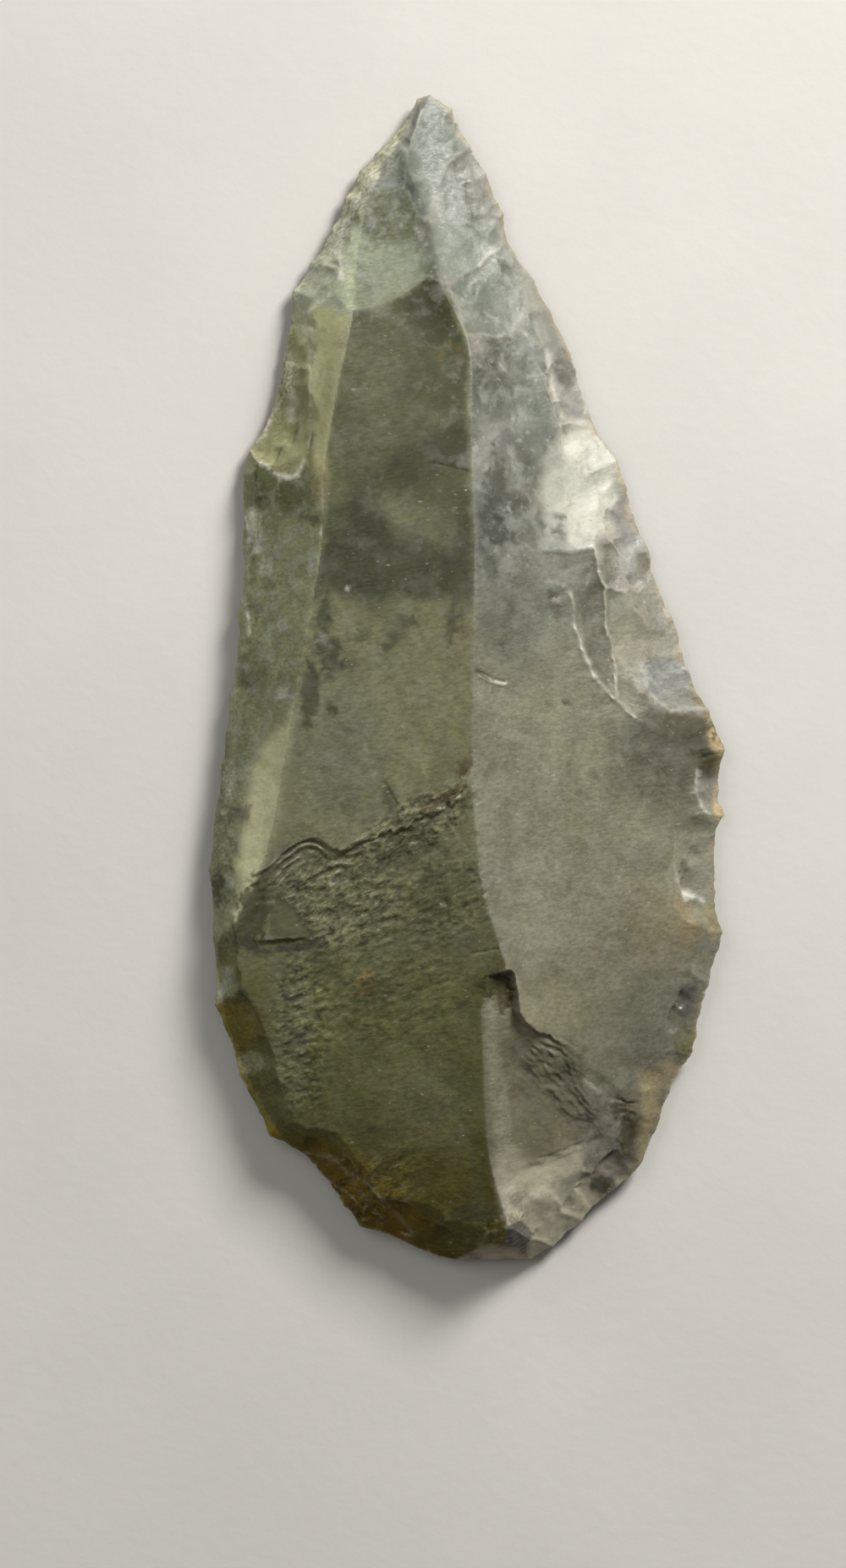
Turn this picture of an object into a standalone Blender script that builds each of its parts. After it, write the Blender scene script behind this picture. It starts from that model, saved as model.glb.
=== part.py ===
"""A mousterian point: a leaf-shaped flint flake, worked on its upper face, lying on its lower face.

+Y runs to the tip, +X to the right of the worked face and +Z up. The shape is worked out
on a drawing of the worked face, in nominal millimetres, and then given its real size.
"""

import math

import bpy
import numpy as np

# Sizes in metres.
length = 0.124
width = 0.055
thickness = 0.0132

# The lower face is shaved flat by this much where the stone rests.
rest_shave = 0.00015
# The striking platform at the foot: how far in it lies and how it leans back.
platform_inset = 0.0005
platform_lean = math.radians(24)
# How widely the ridges between the flake scars are worn round.
ridge_wear = 0.00012

grid_step = 0.0005
upper_triangles = 12000
lower_triangles = 3000

# The drawing: its unit, its middle line and its foot, and the stone's own size on it.
mm = 0.001
unit = 0.09
middle = 552.5
foot = 1500.0
drawn_length = 123.7
drawn_width = 54.8
drawn_thickness = 13.2
below = -6.0
above = 22.0
border = 3.0

# Main ridge: down, across, height in mm.
main_ridge = [
    (1560, 640, 6.4), (1480, 624, 7.9), (1400, 617, 9.9), (1300, 612, 12.0),
    (1150, 599, 13.4), (1060, 572, 13.5), (960, 559, 13.3), (800, 558, 12.7),
    (640, 560, 11.9), (500, 555, 10.8), (400, 550, 9.6), (335, 519, 8.4),
    (285, 503, 7.2), (250, 492, 6.4), (205, 476, 5.4), (150, 485, 3.9), (100, 500, 2.6),
]
# Left ridge: down, across, height in mm.
left_ridge = [
    (1560, 470, 3.9), (1440, 408, 5.0), (1340, 332, 5.7), (1250, 285, 6.0),
    (1170, 262, 6.2), (1108, 262, 6.5), (1080, 285, 7.0), (1045, 300, 7.4),
    (1000, 318, 7.8), (940, 330, 8.2), (850, 346, 8.6), (740, 366, 8.8),
    (640, 381, 8.7), (560, 384, 8.4), (470, 398, 8.0), (370, 418, 7.2),
    (300, 424, 6.2), (230, 440, 5.0), (180, 466, 4.0), (140, 482, 3.1), (100, 494, 2.4),
]
# The flake before its edges were trimmed: down, left edge, right edge.
blank = [
    (1560, 470, 680), (1440, 415, 700), (1340, 330, 775), (1250, 270, 815),
    (1150, 248, 842), (1000, 246, 855), (850, 268, 848), (700, 280, 790),
    (560, 290, 738), (440, 330, 688), (330, 352, 632), (250, 398, 597),
    (180, 438, 562), (100, 495, 515),
]
# Trimming scars round the edge, each from its own cusp to the next one's, from the foot
# up the right side to the tip and down the left: across, down, bite, reach, bowl in mm.
trimming = [
    (556, 1498, 0, 46, 0), (614, 1498, 2, 44, 0.2), (655, 1472, 2, 56, 0.2),
    (690, 1441, 3, 48, 0.3), (722, 1408, 2, 30, 0.2), (757, 1387, 2, 24, 0.1),
    (775, 1332, 2, 30, 0.1), (797, 1278, 2, 26, 0.1), (820, 1243, 4, 40, 0.3),
    (838, 1165, 2, 22, 0.1), (855, 1100, 3, 24, 0.1), (846, 1070, 1, 52, 0.5),
    (846, 985, 2, 14, 0.1), (855, 965, 8, 34, 0.6), (858, 888, 2, 22, 0.1),
    (838, 838, 3, 72, 0.6), (815, 798, 2, 44, 0.2), (800, 745, 1, 34, 0.2),
    (778, 695, 2, 26, 0.2), (766, 650, 3, 40, 0.3), (741, 580, 2, 30, 0.2),
    (731, 543, 3, 46, 0.3), (703, 502, 2, 40, 0.4), (676, 418, 2, 28, 0.1),
    (650, 365, 2, 26, 0.1), (632, 330, 2, 26, 0.1), (601, 285, 2, 20, 0.1),
    (597, 252, 3, 30, 0.2), (577, 205, 2, 26, 0.2), (559, 175, 2, 22, 0.1),
    (540, 142, 2, 14, 0.1), (538, 128, 2, 16, 0.1), (509, 111, 1, 14, 0.1),
    (492, 117, 1, 12, 0.1), (482, 137, 3, 22, 0.1), (445, 180, 3, 26, 0.1),
    (425, 200, 3, 24, 0.1), (407, 235, 2, 24, 0.1), (390, 275, 3, 28, 0.1),
    (367, 310, 3, 30, 0.1), (346, 345, 3, 30, 0.2), (333, 430, 2, 30, 0.2),
    (327, 465, 5, 58, 0.7), (296, 530, 2, 14, 0.1), (287, 560, 2, 20, 0.2),
    (286, 650, 2, 10, 0.1), (288, 690, 2, 10, 0.1), (280, 722, 2, 12, 0.1),
    (281, 765, 2, 9, 0.1), (272, 820, 2, 10, 0.1), (268, 862, 2, 10, 0.1),
    (254, 960, 2, 10, 0.1), (247, 1030, 2, 24, 0.1), (252, 1108, 3, 30, 0.2),
    (254, 1187, 4, 46, 0.5), (283, 1272, 3, 36, 0.2), (318, 1342, 2, 30, 0.2),
    (360, 1365, 3, 46, 0.3), (425, 1450, 3, 50, 0.3), (500, 1478, 2, 48, 0.3),
]
# Long scars struck from the edge before the trimming: start across and down, end across
# and down, reach, lean in degrees, height of the edge left, bowl and sides in mm.
long_scars = [
    (554, 168, 508, 108, 78, -24, 1.3, 0.15, 0.10),
    (580, 210, 554, 168, 86, -22, 0.9, 0.15, 0.16),
    (606, 278, 580, 210, 70, -26, 0.8, 0.20, 0.20),
    (654, 364, 606, 278, 96, -8, 0.9, 0.25, 0.16),
    (742, 584, 700, 500, 112, -24, 1.0, 0.20, 0.16),
    (778, 695, 742, 584, 62, -16, 0.8, 0.20, 0.14),
    (842, 848, 800, 745, 84, 6, 0.9, 0.35, 0.20),
    (352, 330, 290, 540, 52, 0, 1.0, 0.10, 0.05),
]
# Shallow scars on the facets: across, down, half length, half breadth, lean, depth in mm.
shallow_scars = [
    (722, 752, 98, 38, -14, 0.4), (768, 775, 92, 40, -20, 0.45),
    (312, 965, 110, 20, 12, 0.3), (382, 465, 104, 16, 8, 0.25), (636, 480, 96, 60, 12, 0.3),
]
# Left border of the broad scar at the lower right: down, across.
lower_border = [
    (1100, 560), (1152, 566), (1220, 575), (1300, 580), (1370, 586), (1430, 602), (1520, 625),
]
# Rims that run across: across, down.
scarp_rim = [
    (540, 1151), (566, 1152), (596, 1153), (606, 1176), (616, 1208), (640, 1224),
    (672, 1238), (690, 1256), (710, 1284), (740, 1300), (770, 1303), (840, 1312),
]
hinge_rim = [
    (240, 1075), (285, 1040), (318, 1022), (335, 1005), (352, 994), (378, 990),
    (396, 1001), (410, 1002), (428, 990), (455, 984), (482, 974), (500, 962),
    (522, 954), (540, 940), (560, 925), (600, 905),
]
tip_rim = [
    (340, 372), (385, 374), (405, 372), (430, 369), (455, 362), (470, 355), (485, 345),
    (505, 333), (520, 326), (560, 300),
]
inner_rim = [(560, 1396), (620, 1372), (655, 1360), (690, 1344), (720, 1322), (770, 1300)]
# Low steps that run up the right facet: down, across.
outer_step = [(690, 664), (706, 676), (755, 683), (795, 700), (825, 725), (850, 752), (862, 790)]
inner_step = [(636, 694), (650, 703), (740, 717), (800, 725), (835, 742), (850, 790)]


def across(value):
    return (np.asarray(value, float) - middle) * unit


def along(value):
    return (foot - np.asarray(value, float)) * unit


def column(rows, index):
    return [row[index] for row in rows]


def smooth(at, stations, values):
    """A smooth curve through the values at the stations."""
    where = np.asarray(stations, float)
    value = np.asarray(values, float)
    if where[0] > where[-1]:
        where = where[::-1]
        value = value[::-1]
    lean = np.gradient(value, where)
    i = np.clip(np.searchsorted(where, at) - 1, 0, len(where) - 2)
    gap = where[i + 1] - where[i]
    t = np.clip((at - where[i]) / gap, 0, 1)
    start = (1 + 2 * t) * (1 - t) ** 2 * value[i]
    leave = t * (1 - t) ** 2 * gap * lean[i]
    end = t * t * (3 - 2 * t) * value[i + 1]
    arrive = t * t * (t - 1) * gap * lean[i + 1]
    return start + leave + end + arrive


def ramp(value, low, high):
    t = np.clip((value - low) / (high - low), 0, 1)
    return t * t * (3 - 2 * t)


def lower_of(first, second):
    """The lower surface, with the ridge between the two worn round."""
    wear = ridge_wear / mm
    near = np.maximum(wear - np.abs(first - second), 0) / wear
    return np.minimum(first, second) - near * near * wear / 4


def uneven(x, y, cell, seed):
    """A smooth uneven surface between -1 and 1 whose bumps are about a cell apart."""
    lattice = np.random.default_rng(seed).uniform(-1, 1, (64, 64))
    gx = x / cell + 23.3
    gy = y / cell + 11.7
    ix = np.floor(gx).astype(int)
    iy = np.floor(gy).astype(int)
    fx = ramp(gx - ix, 0, 1)
    fy = ramp(gy - iy, 0, 1)
    near = lattice[iy % 64, ix % 64] * (1 - fx) + lattice[iy % 64, (ix + 1) % 64] * fx
    far = lattice[(iy + 1) % 64, ix % 64] * (1 - fx)
    far = far + lattice[(iy + 1) % 64, (ix + 1) % 64] * fx
    return near * (1 - fy) + far * fy


def wander(x, y, much):
    """The same place, moved a little, so that rims and scars aren't even."""
    dx = uneven(x, y, 4.3, 1) + 0.45 * uneven(x, y, 1.7, 2)
    dy = uneven(x, y, 4.3, 3) + 0.45 * uneven(x, y, 1.7, 4)
    return x + much * dx, y + much * dy


def past_rim(at, other, stations, values):
    """Distance past a rim, measured square to it."""
    rim = smooth(at, stations, values)
    rise = smooth(at + 0.2, stations, values) - smooth(at - 0.2, stations, values)
    return (other - rim) / np.sqrt(1 + (rise / 0.4) ** 2)


def over_rim(x, y, rim):
    return past_rim(x, y, across(column(rim, 0)), along(column(rim, 1)))


def beside_rim(x, y, rim):
    return past_rim(y, x, along(column(rim, 0)), across(column(rim, 1)))


def lower_face(x, y):
    """The smooth lower face, bowed, with the swelling that the blow left near the foot."""
    bow = (x / 27.5) ** 2 + ((y - 56) / 72) ** 2
    swelling = np.exp(-(((x - 3) / 8) ** 2) - ((y - 10) / 8) ** 2)
    return 1.7 * bow + 0.7 * ramp(-y, -26, -2) - 1.0 * swelling


def ridges(y):
    main_at = along(column(main_ridge, 0))
    left_at = along(column(left_ridge, 0))
    blank_at = along(column(blank, 0))
    return {
        "main": smooth(y, main_at, across(column(main_ridge, 1))),
        "main_top": smooth(y, main_at, column(main_ridge, 2)),
        "left": smooth(y, left_at, across(column(left_ridge, 1))),
        "left_top": smooth(y, left_at, column(left_ridge, 2)),
        "left_edge": smooth(y, blank_at, across(column(blank, 1))),
        "right_edge": smooth(y, blank_at, across(column(blank, 2))),
    }


def sag(share, depth):
    """How far a hollow facet lies below the straight line between its borders."""
    t = np.clip(share, 0, 1)
    return 4 * depth * t * (1 - t)


def facets(x, y):
    """The three long facets, with the hinge across the middle one and the scar by the tip."""
    r = ridges(y)
    right_low = np.minimum(2.3, 0.6 * r["main_top"])
    left_low = np.minimum(2.6, 0.62 * r["left_top"])
    t = (x - r["main"]) / np.maximum(r["right_edge"] - r["main"], 1)
    right = r["main_top"] + (right_low - r["main_top"]) * t - sag(t, 0.4)
    t = (x - r["left"]) / np.maximum(r["main"] - r["left"], 1)
    centre = r["left_top"] + (r["main_top"] - r["left_top"]) * t - sag(t, 0.22)
    t = (r["left"] - x) / np.maximum(r["left"] - r["left_edge"], 2.6)
    left = r["left_top"] + (left_low - r["left_top"]) * t
    wx, wy = wander(x, y, 0.16)
    past = -over_rim(wx, wy, hinge_rim)
    fall = 0.40 * ramp(past, 0, 0.5) + 0.15 * ramp(past, 0.9, 1.2)
    fall = fall * ramp(y, 16, 42) * (0.35 + 0.65 * ramp(r["main"] - x, 0, 3))
    past = over_rim(wx, wy, tip_rim)
    scar = 0.50 * ramp(past, 0, 0.6) + 0.45 * ramp(y, 105, 112) - 0.9 * ramp(y, 112, 124)
    centre = centre - fall - scar
    return lower_of(lower_of(centre, right), left)


def shallow_scar(x, y, facet, row):
    half_length = row[2] * unit
    half_breadth = row[3] * unit
    lean = math.radians(row[4])
    dx = x - across(row[0])
    dy = y - along(row[1])
    u = np.abs(dx * math.sin(lean) + dy * math.cos(lean)) / half_length
    v = np.abs(dx * math.cos(lean) - dy * math.sin(lean)) / half_breadth
    return facet - row[5] * (1 - u ** 2.5 - v ** 2.5)


def low_step(x, y, rim):
    """How far the surface drops past a low step, before it comes level again."""
    past = beside_rim(x, y, rim)
    ends = ramp(along(rim[0][0]) - y, 0, 1.5) * ramp(y - along(rim[-1][0]), 0, 1)
    return 0.3 * ramp(past, 0, 0.3) * (1 - ramp(past, 1.5, 5)) * ends


def lower_scar(x, y):
    """The broad scar at the lower right, under a stepped scarp."""
    border_at = along(column(lower_border, 0))
    line = smooth(y, border_at, across(column(lower_border, 1)))
    r = ridges(y)
    t = (line - r["left"]) / np.maximum(r["main"] - r["left"], 1)
    top = r["left_top"] + (r["main_top"] - r["left_top"]) * t - 0.55
    t = (x - line) / np.maximum(r["right_edge"] - line, 4)
    floor = top - (top - 2.7) * t - sag(t, 0.22)
    wx, wy = wander(x, y, 0.2)
    past = over_rim(wx, wy, scarp_rim)
    ripples = 0.10 * np.sin(3.6 * past) * (1 - ramp(-past, 1.5, 5)) * ramp(t, 0.1, 0.3)
    inner = -over_rim(wx, wy, inner_rim)
    fall = 0.30 * ramp(inner, 0, 0.8) + 0.6 * ramp(inner, 0.8, 10)
    floor = floor - fall * ramp(t, 0.08, 0.3) * (1 - ramp(t, 0.7, 1))
    rim = smooth(wx, across(column(scarp_rim, 0)), along(column(scarp_rim, 1)))
    wall = 1.6 * np.maximum(0, past) + 1.2 * np.maximum(0, wy - rim - 1.5)
    return floor + wall + ripples * (past < 0)


def flake_scar(x, y, chord_ends, level, bite, reach, bowl, lean, side, lift):
    """Height above the lower face of the scar of a flake struck off between two points."""
    ax, ay, bx, by = chord_ends
    chord = math.hypot(bx - ax, by - ay)
    tx = (bx - ax) / chord
    ty = (by - ay) / chord
    mx = (ax + bx) / 2
    my = (ay + by) / 2
    slant = math.tan(math.radians(lean))
    depth = reach * math.cos(math.radians(lean))
    px = np.array([mx + (tx * slant - ty) * depth])
    py = np.array([my + (ty * slant + tx) * depth])
    rise = float(level(px, py)[0] - lower_face(px, py)[0]) - lift
    slope = max(rise, 0.4) / (depth - bite)
    inward = ty * (mx - x) + tx * (y - my)
    sideways = np.abs((x - mx) * tx + (y - my) * ty - slant * inward)
    share = 2 * sideways / chord
    inward = inward - bite * (1 - share ** 2)
    over = np.maximum(0, sideways - chord / 2)
    hollow = sag(inward / depth, min(bowl, 0.22 * slope * depth))
    return lift + slope * inward - hollow + side * share ** 2 + 0.45 * slope * over ** 1.5


def upper_body(x, y):
    """The upper face before its edge was trimmed."""
    wx, wy = wander(x, y, 0.22)
    facet = facets(x, y)
    height = facet
    bottom = lower_face(x, y)
    for row in long_scars:
        ends = (across(row[0]), along(row[1]), across(row[2]), along(row[3]))
        scar = flake_scar(
            wx, wy, ends, facets, 0, row[4] * unit, row[7], row[5], row[8], row[6]
        )
        height = lower_of(height, bottom + scar)
    for row in shallow_scars:
        height = lower_of(height, shallow_scar(wx, wy, facet, row))
    height = height - low_step(wx, wy, outer_step) - low_step(wx, wy, inner_step)
    return lower_of(height, lower_scar(x, y))


def trimming_scar(x, y, start, end):
    """The scar between two cusps of the edge."""
    ends = (across(start[0]), along(start[1]), across(end[0]), along(end[1]))
    bite = start[2] * unit
    reach = start[3] * unit
    return flake_scar(x, y, ends, upper_body, bite, reach, start[4], 0, 0, 0)


def inside_outline(x, y):
    """Distance inside the chain of cusps, negative outside it."""
    inside = np.zeros(np.shape(x), bool)
    nearest = np.full(np.shape(x), 1e9)
    for start, end in zip(trimming, trimming[1:] + trimming[:1]):
        ax = across(start[0])
        ay = along(start[1])
        dx = across(end[0]) - ax
        dy = along(end[1]) - ay
        t = np.clip(((x - ax) * dx + (y - ay) * dy) / (dx * dx + dy * dy), 0, 1)
        nearest = np.minimum(nearest, np.hypot(x - ax - t * dx, y - ay - t * dy))
        if dy:
            crosses = (ay > y) != (ay + dy > y)
            inside ^= crosses & (x < ax + (y - ay) * dx / dy)
    return np.where(inside, nearest, -nearest)


def upper_face(x, y):
    bottom = lower_face(x, y)
    height = upper_body(x, y)
    for start, end in zip(trimming, trimming[1:] + trimming[:1]):
        height = lower_of(height, bottom + trimming_scar(x, y, start, end))
    gap = inside_outline(x, y)
    return np.where(gap < 0, np.minimum(height, bottom + 0.8 * gap), height)


def block(name, surface, far_side, margin):
    """A closed block between a surface over the drawing and a level plane."""
    half_x = drawn_width / 2 + margin
    half_y = drawn_length / 2 + margin
    columns = round(2 * half_x * mm / grid_step)
    rows = round(2 * half_y * mm / grid_step)
    xs = np.linspace(-half_x, half_x, columns)
    ys = np.linspace(-half_y, half_y, rows) + drawn_length / 2
    x, y = np.meshgrid(xs, ys)
    near = np.stack((x, y, surface(x, y)), axis=2).reshape(-1, 3)
    far = near.copy()
    far[:, 2] = far_side
    scales = (width / drawn_width, length / drawn_length, thickness / drawn_thickness)
    points = np.concatenate((near, far)) * scales
    faces = skin(columns, rows) + walls(columns, rows)
    if far_side > 0:
        faces = [face[::-1] for face in faces]
    mesh = bpy.data.meshes.new(name)
    mesh.from_pydata(points.tolist(), [], faces)
    made = bpy.data.objects.new(name, mesh)
    bpy.context.scene.collection.objects.link(made)
    return made


def skin(columns, rows):
    """The faces of the surface and of the level plane under it."""
    count = columns * rows
    faces = []
    for row in range(rows - 1):
        for column_at in range(columns - 1):
            a = row * columns + column_at
            d = a + columns
            faces.append((a, a + 1, d + 1, d))
            faces.append((d + count, d + 1 + count, a + 1 + count, a + count))
    return faces


def walls(columns, rows):
    count = columns * rows
    last_row = count - columns
    faces = []
    for a in range(columns - 1):
        b = a + 1
        faces.append((b, a, a + count, b + count))
        faces.append((a + last_row, b + last_row, b + last_row + count, a + last_row + count))
    for a in range(0, last_row, columns):
        b = a + columns
        c = a + columns - 1
        d = b + columns - 1
        faces.append((a, b, b + count, a + count))
        faces.append((d, c, c + count, d + count))
    return faces


def cutter(name, size, location, tilt):
    bpy.ops.mesh.primitive_cube_add(size=1)
    made = bpy.context.object
    made.name = name
    made.scale = size
    made.location = location
    made.rotation_euler = (tilt, 0, 0)
    return made


def as_guide(made, parent):
    made.parent = parent
    made.hide_render = True
    made.display_type = "WIRE"


def boolean(target, name, operation, other):
    modifier = target.modifiers.new(name, "BOOLEAN")
    modifier.operation = operation
    modifier.solver = "EXACT"
    modifier.object = other
    return modifier


def thin_out(target, triangles):
    """Leaves many triangles on the ridges and few on the even facets."""
    faces = sum(len(face.vertices) - 2 for face in target.data.polygons)
    fewer = target.modifiers.new("fewer triangles", "DECIMATE")
    fewer.ratio = min(1.0, triangles / faces)
    fewer.use_collapse_triangulate = True


def corners(target):
    bpy.context.view_layer.update()
    evaluated = target.evaluated_get(bpy.context.evaluated_depsgraph_get())
    mesh = evaluated.to_mesh()
    points = np.array([vert.co[:] for vert in mesh.vertices])
    evaluated.to_mesh_clear()
    return points.min(axis=0), points.max(axis=0)


def flint():
    material = bpy.data.materials.new("flint")
    material.use_nodes = True
    shader = material.node_tree.nodes["Principled BSDF"]
    shader.inputs["Base Color"].default_value = (0.165, 0.158, 0.122, 1)
    shader.inputs["Roughness"].default_value = 0.42
    shader.inputs["Metallic"].default_value = 0.0
    material.diffuse_color = (0.165, 0.158, 0.122, 1)
    return material


def clear_scene():
    for made in list(bpy.data.objects):
        bpy.data.objects.remove(made, do_unlink=True)


def main():
    clear_scene()
    stone = block("mousterian_point", upper_face, below, border)
    thin_out(stone, upper_triangles)
    lower_block = block("lower_face_guide", lower_face, above, 2 * border)
    thin_out(lower_block, lower_triangles)
    as_guide(lower_block, stone)
    boolean(stone, "lower face", "INTERSECT", lower_block)
    rest = cutter(
        "rest_cutter", (2 * width, 2 * length, thickness),
        (0, length / 2, rest_shave - thickness / 2), 0,
    )
    as_guide(rest, stone)
    boolean(stone, "rest", "DIFFERENCE", rest)
    reach = 2 * thickness
    platform = cutter(
        "platform_cutter", (width / 2, reach, 2 * reach),
        (0, platform_inset - reach / 2 / math.cos(platform_lean), 0), -platform_lean,
    )
    as_guide(platform, stone)
    boolean(stone, "platform", "DIFFERENCE", platform)
    low, high = corners(stone)
    stone.location = (-(low[0] + high[0]) / 2, -(low[1] + high[1]) / 2, -low[2])
    stone.data.materials.append(flint())


main()
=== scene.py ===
# The looks of a mousterian point: the knapped flint, the pale table it lies on, the light and
# the camera. Places on the worked face are given across and down in pixels of the picture, and
# heights, depths and widths are in millimetres unless a name says otherwise.

import math

import bpy
import numpy as np
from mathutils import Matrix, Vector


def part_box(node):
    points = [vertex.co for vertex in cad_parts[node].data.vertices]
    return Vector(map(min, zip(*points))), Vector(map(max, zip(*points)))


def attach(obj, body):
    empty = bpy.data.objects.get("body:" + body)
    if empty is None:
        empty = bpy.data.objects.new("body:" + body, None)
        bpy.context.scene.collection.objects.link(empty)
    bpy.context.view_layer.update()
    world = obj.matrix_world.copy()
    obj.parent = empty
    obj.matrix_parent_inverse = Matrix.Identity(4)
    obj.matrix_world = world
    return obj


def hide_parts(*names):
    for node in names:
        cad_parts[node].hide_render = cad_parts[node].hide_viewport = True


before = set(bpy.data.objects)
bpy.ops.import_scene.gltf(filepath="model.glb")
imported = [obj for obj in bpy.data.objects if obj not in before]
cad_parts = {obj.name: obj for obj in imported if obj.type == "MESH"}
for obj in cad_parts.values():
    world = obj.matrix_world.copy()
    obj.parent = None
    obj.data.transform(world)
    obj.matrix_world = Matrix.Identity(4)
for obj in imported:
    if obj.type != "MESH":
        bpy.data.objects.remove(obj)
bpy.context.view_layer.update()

millimetre = 0.001

# The frame that places are given in: the size of a pixel, where the stone's middle and foot
# lie, and the size that the stone comes to before it is fitted to the solid.
drawing = {
    "unit": 0.09,
    "middle": 552.5,
    "foot": 1500.0,
    "width": 54.8,
    "length": 123.7,
    "thickness": 13.2,
}

flint = {
    "node": "mousterian_point",
    "slot": "flint",
    "gridStep": 0.14,  # between the points that shape the worked face
    "quickStep": 0.24,
    "margin": 1.2,  # of the worked face's block past the outline
    "triangles": 158000,
    "blockFoot": -6.0,
    "underStep": 0.4,
    "underMargin": 3.0,
    "underTriangles": 26000,
    "blockTop": 22.0,
    "ridgeWear": 0.16,
    "restShave": 0.15,  # off the lower face, where the stone lies
    "platformInset": 0.5,
    "platformLean": math.radians(24),
    "weld": 2e-6,  # metres
    "sharpAngle": math.radians(60),
}

# Main ridge: down, across, height in mm.
mainRidge = [
    (1560, 640, 6.4), (1480, 624, 7.9), (1400, 617, 9.9), (1300, 612, 12.0),
    (1150, 599, 13.4), (1060, 572, 13.5), (960, 559, 13.3), (800, 558, 12.7),
    (640, 560, 11.9), (500, 555, 10.8), (400, 550, 9.6), (335, 519, 8.4),
    (285, 503, 7.2), (250, 492, 6.4), (205, 476, 5.4), (150, 485, 3.9), (100, 500, 2.6),
]
# Left ridge: down, across, height in mm.
leftRidge = [
    (1560, 470, 3.9), (1440, 408, 5.0), (1340, 332, 5.7), (1250, 285, 6.0),
    (1170, 262, 6.2), (1108, 262, 6.5), (1080, 285, 7.0), (1045, 300, 7.4),
    (1000, 318, 7.8), (940, 330, 8.2), (850, 346, 8.6), (740, 366, 8.8),
    (640, 381, 8.7), (560, 384, 8.4), (470, 398, 8.0), (370, 418, 7.2),
    (300, 424, 6.2), (230, 440, 5.0), (180, 466, 4.0), (140, 482, 3.1), (100, 494, 2.4),
]
# The flake before its edges were trimmed: down, left edge, right edge.
blank = [
    (1560, 470, 680), (1440, 415, 700), (1340, 330, 775), (1250, 270, 815),
    (1150, 248, 842), (1000, 246, 855), (850, 268, 848), (700, 280, 790),
    (560, 290, 738), (440, 330, 688), (330, 352, 632), (250, 398, 597),
    (180, 438, 562), (100, 495, 515),
]
# Trimming scars round the edge, each from its own cusp to the next one's, from the foot
# up the right side to the tip and down the left: across, down, bite, reach, bowl in mm.
trimming = [
    (556, 1498, 0, 46, 0), (614, 1498, 2, 44, 0.2), (655, 1472, 2, 56, 0.2),
    (690, 1441, 3, 48, 0.3), (722, 1408, 2, 30, 0.2), (757, 1387, 2, 24, 0.1),
    (775, 1332, 2, 30, 0.1), (797, 1278, 2, 26, 0.1), (820, 1243, 4, 40, 0.3),
    (838, 1165, 2, 22, 0.1), (855, 1100, 3, 24, 0.1), (846, 1070, 1, 52, 0.5),
    (846, 985, 2, 14, 0.1), (855, 965, 8, 24, 0.6), (858, 888, 2, 22, 0.1),
    (838, 838, 3, 72, 0.6), (815, 798, 2, 44, 0.2), (800, 745, 1, 34, 0.2),
    (778, 695, 2, 26, 0.2), (766, 650, 3, 40, 0.3), (741, 580, 2, 30, 0.2),
    (731, 543, 3, 46, 0.3), (703, 502, 2, 40, 0.4), (676, 418, 2, 28, 0.1),
    (650, 365, 2, 26, 0.1), (632, 330, 2, 26, 0.1), (601, 285, 2, 20, 0.1),
    (597, 252, 3, 30, 0.2), (577, 205, 2, 26, 0.2), (559, 175, 2, 22, 0.1),
    (540, 142, 2, 14, 0.1), (538, 128, 2, 16, 0.1), (509, 111, 1, 14, 0.1),
    (492, 117, 1, 12, 0.1), (482, 137, 3, 22, 0.1), (445, 180, 3, 26, 0.1),
    (425, 200, 3, 24, 0.1), (407, 235, 2, 24, 0.1), (390, 275, 3, 28, 0.1),
    (367, 310, 3, 30, 0.1), (346, 345, 3, 30, 0.2), (333, 430, 2, 30, 0.2),
    (327, 465, 5, 58, 0.7), (296, 530, 2, 14, 0.1), (287, 560, 2, 20, 0.2),
    (286, 650, 2, 10, 0.1), (288, 690, 2, 10, 0.1), (280, 722, 2, 12, 0.1),
    (281, 765, 2, 9, 0.1), (272, 820, 2, 10, 0.1), (268, 862, 2, 10, 0.1),
    (254, 960, 2, 10, 0.1), (247, 1030, 2, 24, 0.1), (252, 1108, 3, 30, 0.2),
    (254, 1187, 4, 46, 0.5), (283, 1272, 3, 36, 0.2), (318, 1342, 2, 30, 0.2),
    (360, 1365, 3, 46, 0.3), (425, 1450, 3, 50, 0.3), (500, 1478, 2, 48, 0.3),
]
# Long scars struck from the edge before the trimming: start across and down, end across
# and down, reach, lean in degrees, height of the edge left, bowl and sides in mm.
longScars = [
    (554, 168, 508, 108, 78, -24, 1.3, 0.15, 0.10),
    (580, 210, 554, 168, 86, -22, 0.9, 0.15, 0.16),
    (606, 278, 580, 210, 70, -26, 0.8, 0.20, 0.20),
    (654, 364, 606, 278, 90, -8, 0.9, 0.25, 0.16),
    (742, 584, 700, 500, 112, -24, 1.0, 0.20, 0.16),
    (778, 695, 742, 584, 62, -16, 0.8, 0.20, 0.14),
    (842, 848, 800, 745, 84, 6, 0.9, 0.35, 0.20),
    (352, 330, 290, 540, 52, 0, 1.0, 0.10, 0.05),
]
# Shallow scars on the facets: across, down, half length, half breadth, lean, depth in mm.
shallowScars = [
    (722, 752, 98, 38, -14, 0.4), (768, 775, 92, 40, -20, 0.45),
    (312, 965, 110, 20, 12, 0.3), (382, 465, 104, 16, 8, 0.25), (636, 480, 96, 60, 12, 0.3),
]
# Left border of the broad scar at the lower right: down, across.
lowerBorder = [
    (1100, 560), (1152, 566), (1220, 575), (1300, 580), (1370, 586), (1430, 602), (1520, 625),
]
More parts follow.
